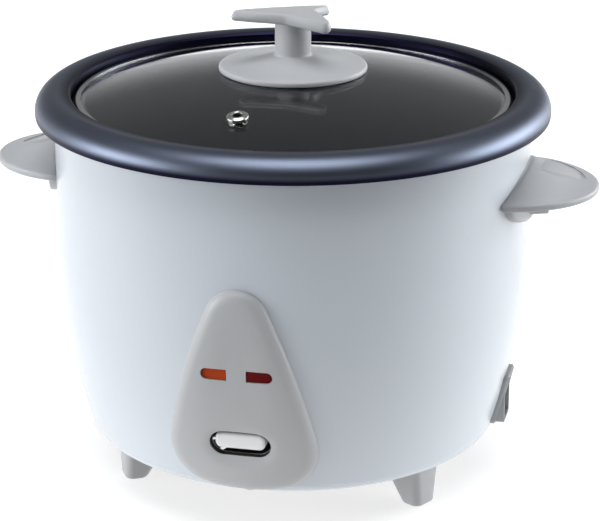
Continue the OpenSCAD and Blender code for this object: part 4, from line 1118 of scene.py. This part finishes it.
@dataclass
class Handles(Assembly):
    """The two ear-shaped handles."""

    kept = {"handle_screws": Paint.screw}
    centre: float = 110.5  # distance of the ellipse's centre from the axis
    reach: float = 51.3  # half length of the ellipse
    half_width: float = 45.7  # half width of the ellipse
    low: float = 163.4  # height of the underside
    high: float = 167.0  # height of the top
    flange_low: float = 149.3  # height of the flange's lowest point
    flange_half: float = 40.0  # half width of the flange
    flange_thick: float = 4.0  # thickness of the flange
    crest: Point = (11.3, 44.0)  # height and half width of the root above the top
    sweep: float = 28.0  # how far the root's sweep reaches from the drum
    # corners of the leaf near the tip, with the radius of each
    leaf: tuple[Triple, ...] = (
        (126.0, -2.0, 0), (140.5, 2.8, 30.0), (154.3, 10.7, 1.4), (151.2, 19.6, 18.0),
        (145.9, 28.0, 18.0), (139.8, 33.2, 18.0), (127.0, 38.5, 0),
    )
    leaf_depth: float = 0.8  # depth of the leaf at its far end
    leaf_span: Point = (131.0, 153.0)  # distances from the axis between which it deepens
    # distance across, height, radius and length of a screw's boss
    screw: tuple[float, float, float, float] = (10.0, 156.05, 4.4, 13.0)
    boss_taper: float = 0.45  # share by which a boss narrows over its length

    def outline(self) -> list[Point]:
        """Outline the right shelf.

        Returns:
            The end of an ellipse, and the drum's wall from one of its ends to the other.
        """
        edge = SIDE.radius + 0.03
        ear = arc((self.centre, 0.0), self.reach, -90, 90, 72, self.half_width)
        ear = [p for p in ear if math.hypot(*p) > edge + 2.4]
        turn = math.degrees(math.atan2(ear[-1][1], ear[-1][0]))
        return ear + arc((0.0, 0.0), edge, turn, -turn, 24)

    def model(self) -> Piece:
        """Model the right handle.

        Returns:
            The handle, not yet settled.
        """
        shelf = slab(
            "ear_handle_right", self.outline(), self.low, self.high, UP, Rounding(1.6, 1.3, 6),
            Rounding(1.2, 1.1, 4), rings=20, middle=(138.0, 0.0),
        )
        combine(shelf, self.leaf_cutter())
        reshape(shelf, self.raise_root)
        half, top = self.flange_half, self.low + 2.4
        bow = arc((0.0, self.low), half, 180, 360, 40, self.low - self.flange_low)
        flange = slab(
            "flange", bow + [(half, top), (-half, top)], 0.03, self.flange_thick, RIGHT,
            Rounding(1.4, 1.2, 5), rings=12, middle=(0.0, self.low - 4.0),
        )
        combine(shelf, SIDE.wrap(flange, RIGHT), Join.ADD)
        for sign in (-1, 1):
            combine(shelf, self.model_boss(sign), Join.ADD)
        return shelf

    def raise_root(self, point: Vector) -> Vector:
        """Sweep the top up to the drum, highest in the middle of the root.

        Args:
            point: a point of the flat shelf.

        Returns:
            Where the point goes.
        """
        x, y, z = UP.flat(point)
        if z < (self.low + self.high) / 2:
            return point
        away = math.hypot(x, y)
        out = away - SIDE.radius
        pull = 0.65 * out if out < 1.7 else 0.0
        middle = max(0.0, 1.0 - (y / self.crest[1]) ** 2) ** 1.15
        near = max(0.0, 1.0 - out / self.sweep) ** 2
        scale = 1.0 - pull / away
        return UP.place(x * scale, y * scale, z + self.crest[0] * middle * near)

    def model_boss(self, sign: int) -> Piece:
        """Model the boss round one screw, straight out of the drum.

        Args:
            sign: -1 for the front screw and 1 for the rear.

        Returns:
            The boss.
        """
        across, level, radius, length = self.screw
        boss = slab(
            "boss", arc((0.0, level), radius, 0.0, 352.5, 47), SIDE.radius + 1.0,
            SIDE.radius + length, RIGHT, Rounding(0.6, 0.6, 3),
        )

        def taper(point: Vector) -> Vector:
            """Narrow the boss outwards.

            Args:
                point: a point of the straight boss.

            Returns:
                Its new place.
            """
            y, z, out = RIGHT.flat(point)
            slim = 1.0 - self.boss_taper * (out - SIDE.radius) / length
            return RIGHT.place(y * slim, level + (z - level) * slim, out)

        reshape(boss, taper)
        boss.rotation_euler.z = sign * math.asin(across / SIDE.radius)
        return settle(boss)

    def leaf_cutter(self) -> Piece:
        """Shape the shallow leaf near the tip, which fades out towards the drum.

        Returns:
            The cutter.
        """
        near, far = self.leaf_span

        def tilt(point: Vector) -> Vector:
            """Deepen the leaf towards its far end.

            Args:
                point: a point of the level cutter.

            Returns:
                Its new place.
            """
            x, y, z = UP.flat(point)
            if z > self.high:
                return point
            return UP.place(x, y, self.high - self.leaf_depth * (x - near) / (far - near))

        leaf = slab("leaf_cut", soften(self.leaf), self.high - 1.0, self.high + 3.0, UP)
        return reshape(leaf, tilt)

    def build(self) -> None:
        """Model the right handle and mirror a copy of it for the left."""
        right = self.model()
        left = copy_of(right, "ear_handle_left")
        edit(left)
        bpy.ops.mesh.select_all(action="SELECT")
        bpy.ops.transform.resize(value=(-1.0, 1.0, 1.0), center_override=(0.0, 0.0, 0.0))
        bpy.ops.mesh.normals_make_consistent(inside=False)
        for piece, node in ((right, "handle_right"), (left, "handle_left")):
            hand_over(piece, Paint.grey, "base", "grey_plastic", node, angle=32.0)


@dataclass
class Inlet(Assembly):
    """The appliance inlet low on the right."""

    kept = {"inlet_pins": Paint.brass}
    level: float = 46.5  # height of its middle
    bezel: Point = (21.0, 28.5)  # width and height of the bezel
    proud: float = 3.0  # how far the bezel stands out
    socket: Point = (16.4, 24.0)  # width and height of the socket
    lip: float = 1.4  # width of the raised rim round the mouth
    floor: float = 99.0  # distance of the socket's floor from the axis
    wall: float = 1.2  # thickness of the socket's wall

    def build(self) -> None:
        """Model the housing: bezel, raised rim round the mouth and hollow socket."""
        low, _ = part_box("inlet_housing")
        middle = (0.0, self.level)
        width, height = self.socket
        housing = block(
            "inlet_frame", self.bezel, 3.0, middle, 0.02, self.proud - 0.6, RIGHT,
            Rounding(0.7, 0.7, 4), rings=8,
        )
        mouth = block(
            "mouth", (width + 2 * self.lip, height + 2 * self.lip), 2.2, middle, 0.5, self.proud,
            RIGHT, Rounding(0.5, 0.5, 4), rings=6,
        )
        case = block(
            "case", (width + 2 * self.wall, height + 2 * self.wall), 2.0, middle, low.x / MM,
            SIDE.at(self.level + height / 2) + 0.5, RIGHT, back=Rounding(0.6, 0.6, 3),
        )
        SIDE.wrap(housing, RIGHT)
        combine(housing, SIDE.wrap(mouth, RIGHT), Join.ADD)
        combine(housing, case, Join.ADD)
        combine(housing, block("hollow", self.socket, 1.4, middle, self.floor, 140.0, RIGHT))
        hand_over(housing, Paint.inlet, "base", "inlet_plastic", "inlet_housing", angle=30.0)


@dataclass
class Lid(Assembly):
    """The glass lid with its band, steam vent and knob."""

    kept = {"lid_glass": Paint.glass, "lid_seal": Paint.seal}
    band_radius: float = 114.1  # outer radius of the band
    band_low: float = 201.5  # height of the band's ledge
    band_high: float = 206.1  # height of its upper lip
    lip_in: float = 111.1  # inner radius of the upper lip
    base_in: float = 108.1  # inner radius of the ledge
    skirt_low: float = 196.5  # height of the skirt's lower edge
    sheet: float = 0.5  # thickness of the band
    dome_radius: float = 402.0  # radius of the glass's outer face
    dome_centre: float = -180.74  # height of that sphere's centre
    vent_place: float = 79.0  # distance of the vent from the axis
    vent_turn: float = -97.5  # angle of the vent round the axis
    glass: float = 3.6  # thickness of the glass
    bore: float = 2.6  # inner radius of the eyelet
    barrel: float = 3.4  # outer radius of the eyelet in the glass
    flange: float = 5.6  # outer radius of its lip on the glass
    eyelet_top: float = 2.8  # height of the eyelet above the glass
    sleeve: Point = (2.1, 2.57)  # inner and outer radius of the dark sleeve in the bore

    def model_band(self) -> Piece:
        """Model the folded band as one turned strip.

        Returns:
            The band, not yet settled.
        """
        t, ledge = self.sheet, self.base_in
        outer, low, high = self.band_radius, self.band_low, self.band_high
        return ring("lid_ring", (
            (self.lip_in, high, 0.2), (outer, high, 0.9), (outer, low, 0.5), (ledge + t, low, 0.2),
            (ledge + t, self.skirt_low, 0.2), (ledge, self.skirt_low, 0.2), (ledge, low + t, 0.6),
            (outer - t, low + t, 0.3), (outer - t, high - t, 0.5), (self.lip_in, high - t, 0.2),
        ))

    def on_dome(self, name: str, corners: Sequence[Triple]) -> Piece:
        """Turn a ring about Z and set it on the glass at the vent.

        Args:
            name: the piece's name.
            corners: the ring's section, with heights from the glass's outer face.

        Returns:
            The ring, not yet settled.
        """
        piece = ring(name, corners, 64)
        reshape(piece, lambda point: point + Vector((0.0, 0.0, self.dome_radius * MM)))
        tilt = math.asin(self.vent_place / self.dome_radius)
        piece.rotation_euler = (0.0, tilt, math.radians(self.vent_turn))
        piece.location.z = self.dome_centre * MM
        return piece

    def build(self) -> None:
        """Model the band, the eyelet with rolled lips and the dark sleeve in its bore."""
        hand_over(self.model_band(), Paint.band, "lid", "band_steel", "lid_band")
        bore, barrel, lip, top = self.bore, self.barrel, self.flange, self.eyelet_top
        low = -self.glass - 0.85
        eyelet = self.on_dome("vent_ferrule", (
            (bore, top - 0.5, 0.1), (bore + 0.5, top, 0.25), (4.2, top, 0.45),
            (lip, top - 0.9, 0.5), (lip, 0.05, 0.3), (barrel, 0.05, 0.0),
            (barrel, low + 0.8, 0.1), (barrel + 1.2, low + 0.75, 0.3), (barrel + 1.2, low, 0.35),
            (bore, low, 0.4),
        ))
        hand_over(eyelet, Paint.polished, "lid", "eyelet_steel", "vent_eyelet", angle=50.0)
        (near, far), low, high = self.sleeve, -self.glass - 0.7, 2.2
        ends = ((near, high, 0.1), (far, high, 0.1), (far, low, 0.1), (near, low, 0.1))
        sleeve = self.on_dome("vent_sleeve", ends)
        hand_over(sleeve, Paint.seal, "lid", "seal_compound", angle=50.0)


@dataclass
class Knob(Assembly):
    """The knob: a dished disc with a stem, and a grip with one finger and two prongs."""

    kept = {"knob_screw": Paint.screw, "knob_washer": Paint.rubber}
    disc: float = 38.8  # radius of the disc
    disc_low: float = 219.58  # height of the disc's lowest edge
    edge: float = 3.0  # thickness of the disc's edge
    flat: float = 3.0  # width of the level rim of the dish
    sweep: float = 5.0  # height of the dish from its edge to the stem
    stem: float = 9.4  # radius of the stem
    grip_low: float = 245.58  # height of the grip's underside, where the stem ends
    grip_high: float = 251.08  # height of the grip's crest
    waist: float = 10.5  # radius of the grip's middle
    # place and radius of the end of each limb
    tips: tuple[Triple, ...] = ((-29.2, 0.0, 2.8), (15.8, 17.6, 3.4), (15.8, -17.6, 3.4))
    notch: Point = (25.0, 9.0)  # place and radius of the notch between the prongs
    droop: float = 1.9  # how far the prongs' tips hang below the middle
    turn: float = 13.6  # angle of the grip about Z in degrees

    def model_base(self) -> Piece:
        """Turn the disc and stem in one piece.

        Returns:
            The base, not yet settled.
        """
        lid = Lid()
        top, rim = self.disc_low + self.edge, self.disc - self.flat
        stem_top = self.grip_low - 0.02
        dome = [
            (r, lid.dome_centre + math.sqrt((lid.dome_radius + 0.05) ** 2 - r**2))
            for r in (0.0, 8.0, 16.0, 24.0, 31.0, 36.5)
        ]
        run = rim - self.stem
        swing = (run**2 + self.sweep**2) / (2 * self.sweep)
        sweep = [
            (r, top + swing - math.sqrt(swing**2 - (rim - r) ** 2))
            for r in (rim - run * k / 16 for k in range(16))
        ]
        edge = soften([
            (36.5, self.disc_low, 0), (self.disc, self.disc_low, 0.7), (self.disc, top, 1.5),
            (rim, top, 0),
        ])
        stem = soften([
            (*sweep[-2], 0), (self.stem, top + self.sweep - 0.2, 1.6), (self.stem, stem_top, 0),
        ])
        return turned("knob_disc", dome + edge + sweep[1:-2] + stem + [(0.0, stem_top)])

    def circles(self, tip: Triple, steps: int) -> list[Triple]:
        """List circles along a limb of the grip.

        Args:
            tip: place and radius of the limb's tip.
            steps: number of gaps between the circles.

        Returns:
            Place and radius of each circle, from the waist to the tip.
        """
        x, y, radius = tip
        shares = [k / steps for k in range(steps + 1)]
        return [(x * s, y * s, self.waist + (radius - self.waist) * s) for s in shares]

    def limbs(self, x: float, y: float) -> float:
        """Tell how near a point of the plan is to the grip's three crests.

        Args:
            x: distance along the grip.
            y: distance across it.

        Returns:
            0 on a crest and 1 on the plan's edge.
        """
        total = 0.0
        for tip in self.tips:
            near = min(math.hypot(x - a, y - b) / r for a, b, r in self.circles(tip, 24))
            total += (near + 0.05) ** -3
        return total ** (-1 / 3)

    def reach(self, c: float, s: float) -> float:
        """Measure the limbs' plan in one direction.

        Args:
            c: cosine of the direction.
            s: sine of the direction.

        Returns:
            Distance from the middle to the limbs' edge, in millimetres.
        """
        reach = self.waist
        for tip in self.tips:
            for x, y, r in self.circles(tip, 40):
                along = x * c + y * s
                room = along**2 - x**2 - y**2 + r**2
                if room >= 0:
                    reach = max(reach, along + math.sqrt(room))
        return reach

    def outline(self) -> list[Point]:
        """Outline the grip as seen from above: tapered limbs that flow together, less the notch.

        Returns:
            The outline's points, one in each direction from the middle.
        """
        count, window = 200, 9
        turns = [2 * math.pi * k / count for k in range(count)]
        reaches = [self.reach(math.cos(turn), math.sin(turn)) for turn in turns]
        weights = {k: math.cos(math.pi / 2 * k / window) ** 2 for k in range(1 - window, window)}
        points: list[Point] = []
        notch_x, notch_r = self.notch
        for k, turn in enumerate(turns):
            smooth = sum(w * reaches[(k + j) % count] for j, w in weights.items())
            reach = max(reaches[k], smooth / sum(weights.values()))
            along = notch_x * math.cos(turn)
            room = along**2 - notch_x**2 + notch_r**2
            if room > 0 and along > 0:
                reach = min(reach, along - math.sqrt(room))
            points.append((reach * math.cos(turn), reach * math.sin(turn)))
        return points

    def model_grip(self) -> Piece:
        """Model the grip: rounded all round, crested along each limb and arched.

        Returns:
            The grip, not yet settled.
        """
        high = self.grip_high + 0.6
        grip = slab(
            "knob_tail", self.outline(), self.grip_low, high, UP, Rounding(2.3, 3.6, 9),
            Rounding(1.5, 1.5, 6), rings=16,
        )

        def mould(point: Vector) -> Vector:
            """Crown the grip's top between its crests and let its tips hang.

            Args:
                point: a point of the flat grip.

            Returns:
                Its new place.
            """
            x, y, z = UP.flat(point)
            share = max(0.0, (z - self.grip_low - 1.5) / (high - self.grip_low - 1.5))
            crown = 1.7 * min(1.0, self.limbs(x, y)) ** 2 - 1.1
            drop = share * (x**2 / 520.0 + crown)
            hang = self.droop * (y / self.tips[1][1]) ** 2
            return UP.place(x, y, min(self.grip_high, z - drop) - hang)

        reshape(grip, mould)
        grip.rotation_euler.z = math.radians(self.turn)
        return grip

    def build(self) -> None:
        """Model the base and the grip."""
        for piece, node, angle in (
            (self.model_base(), "knob_base", 60.0), (self.model_grip(), "knob_grip", 80.0),
        ):
            hand_over(piece, Paint.grey, "lid", "grey_plastic", node, angle=angle)


@dataclass
class Works(Assembly):
    """The pot and everything under it, which show when the pot is lifted out."""

    kept = {
        "inner_pot": Paint.rim, "inner_liner": Paint.liner, "support_strips": Paint.sheet,
        "heater_plate": Paint.cast, "heating_element": Paint.element, "heater_legs": Paint.sheet,
        "heater_screws": Paint.screw, "sensor_sleeve": Paint.sheet, "sensor_spring": Paint.spring,
        "sensor_cap": Paint.aluminium, "thermal_ferrite": Paint.ferrite, "magnet": Paint.ferrite,
        "magnet_rod": Paint.sheet, "lever_bracket": Paint.sheet, "lever_pin": Paint.screw,
        "cook_lever": Paint.lever, "main_switch": Paint.phenolic, "switch_plunger": Paint.plunger,
        "terminal_block": Paint.ceramic, "thermal_fuse": Paint.fuse, "lead_wires": Paint.sleeve,
    }
    coil: Point = (3.7, 0.4)  # radius of the magnet's spring and of its wire
    turns: int = 7  # number of turns of that spring
    steps: int = 24  # facets of a turn
    travel: float = 2.9  # how far the magnet rises and shortens the spring

    def model_spring(self) -> Piece:
        """Model the magnet's spring: a straight wire wound into a coil.

        Returns:
            The spring, not yet settled.
        """
        radius, wire = self.coil
        low, high = (corner.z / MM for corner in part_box("magnet_spring"))
        steps = self.turns * self.steps
        spring = slab("wound_spring", arc((0.0, 0.0), wire, 0.0, 324.0, 9), 0.0, 1.0, UP)
        edit(spring)
        select_facing(spring, Vector(ALONG_Z))
        for _ in range(steps - 1):
            extrude(Vector((0.0, 0.0, MM)))

        def wind(point: Vector) -> Vector:
            """Wind a straight wire round the magnet's rod.

            Args:
                point: a point of the straight wire.

            Returns:
                Its place on the coil.
            """
            out, down, along = UP.flat(point)
            turn = 2 * math.pi * self.turns * along / steps
            level = low + wire + (high - low - 2 * wire) * along / steps - down
            reach = radius + out
            return UP.place(reach * math.cos(turn), reach * math.sin(turn), level)

        return reshape(spring, wind)

    def build(self) -> None:
        """Model the magnet's spring and give it a mesh of its own."""
        spring = self.model_spring()
        hand_over(spring, Paint.spring, "base", "spring_steel", "magnet_spring", angle=60.0)
        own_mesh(spring)


# ---------- studio ----------


@dataclass
class Studio:
    """Plain pale floor, soft light and the camera."""

    eye: Triple = (0.26445, -1.17050, 0.53786)  # where the camera stands, in metres
    tilt: float = 70.516  # its angle from straight down, in degrees
    heading: float = 12.73  # its angle about Z, in degrees
    lens: float = 142.12  # focal length in millimetres
    shift: float = 0.01153  # sideways shift as a share of the picture's width
    floor: float = 24.0  # side of the floor in metres
    floor_glow: Point = (0.0, 0.72)  # how bright the floor is ahead of the cooker and round it
    sky: Point = (0.59, 0.22)  # brightness level with the cooker and above it
    # direction, span and strength of each bright side
    sides: tuple[tuple[Triple, Point, float], ...] = (
        ((-0.827, -0.562, 0.15), (0.76, 0.92), 8.4), ((0.90, 0.437, 0.15), (0.76, 0.97), 8.6),
    )
    side_height: Point = (0.22, 0.52)  # heights between which the bright sides fade out
    dark: Triple = (0.40, -0.916, 0.10)  # direction of the dimmest part of the surroundings
    # direction, span and strength of the patch overhead
    above: tuple[Triple, Point, float] = ((0.05, -0.22, 0.97), (0.86, 0.975), 5.2)
    tint: Triple = (0.97, 0.99, 1.02)  # colour of the light

    def place_camera(self) -> None:
        """Create the camera and make it the scene's."""
        data = bpy.data.cameras.new("studio_camera")
        data.lens = self.lens
        data.sensor_width = 36.0
        data.shift_x = self.shift
        data.clip_start, data.clip_end = 0.05, 100.0
        camera = bpy.data.objects.new("studio_camera", data)
        camera.location = self.eye
        camera.rotation_euler = (math.radians(self.tilt), 0.0, math.radians(self.heading))
        bpy.context.scene.collection.objects.link(camera)
        bpy.context.scene.camera = camera

    def lay_floor(self) -> None:
        """Lay the floor, which isn't part of the object."""
        clear_selection()
        bpy.ops.mesh.primitive_plane_add(size=self.floor)
        floor = bpy.context.active_object
        floor.name = "studio_floor"
        material = Paint.floor.material()
        floor.data.materials.append(material)
        board = Board(material.node_tree)
        place = board.add("TexCoord", "Object", {})
        lit = board.glow(place, (-0.22, 0.975, 0.0), (-0.40, -0.08), self.floor_glow)
        board.feed(board.tree.nodes["Principled BSDF"], {"Emission Strength": lit})

    def light(self) -> None:
        """Light the scene with soft surroundings: bright at the sides and above, dim ahead."""
        world = bpy.data.worlds.new("studio_air")
        bpy.context.scene.world = world
        world.use_nodes = True
        board = Board(world.node_tree)
        place = board.add("TexCoord", "Generated", {})
        total = board.glow(place, ALONG_Z, (0.0, 0.34), self.sky)
        for toward, span, power in self.sides:
            side = board.glow(place, toward, span, (0.0, power))
            low = board.glow(place, ALONG_Z, self.side_height, (1.0, 0.0))
            total = board.join("ADD", total, board.join("MULTIPLY", side, low))
        dim = board.glow(place, self.dark, (0.23, 0.43), (1.0, 0.0))
        total = board.join("MULTIPLY", total, dim)
        toward, span, power = self.above
        total = board.join("ADD", total, board.glow(place, toward, span, (0.0, power)))
        air = {"Color": (*self.tint, 1.0), "Strength": total}
        board.feed(board.tree.nodes["Background"], air)
        bpy.context.scene.view_settings.view_transform = "Standard"

    def build(self) -> None:
        """Set up the camera, the floor and the light."""
        self.place_camera()
        self.lay_floor()
        self.light()


def main() -> None:
    """Build the studio and every sub-assembly."""
    logging.basicConfig(level=logging.INFO, format="%(name)s: %(message)s")
    Studio().build()
    for assembly in (Shell(), Panel(), Handles(), Inlet(), Lid(), Knob(), Works()):
        assembly.build()
        assembly.dress()


if __name__ == "__main__":
    main()
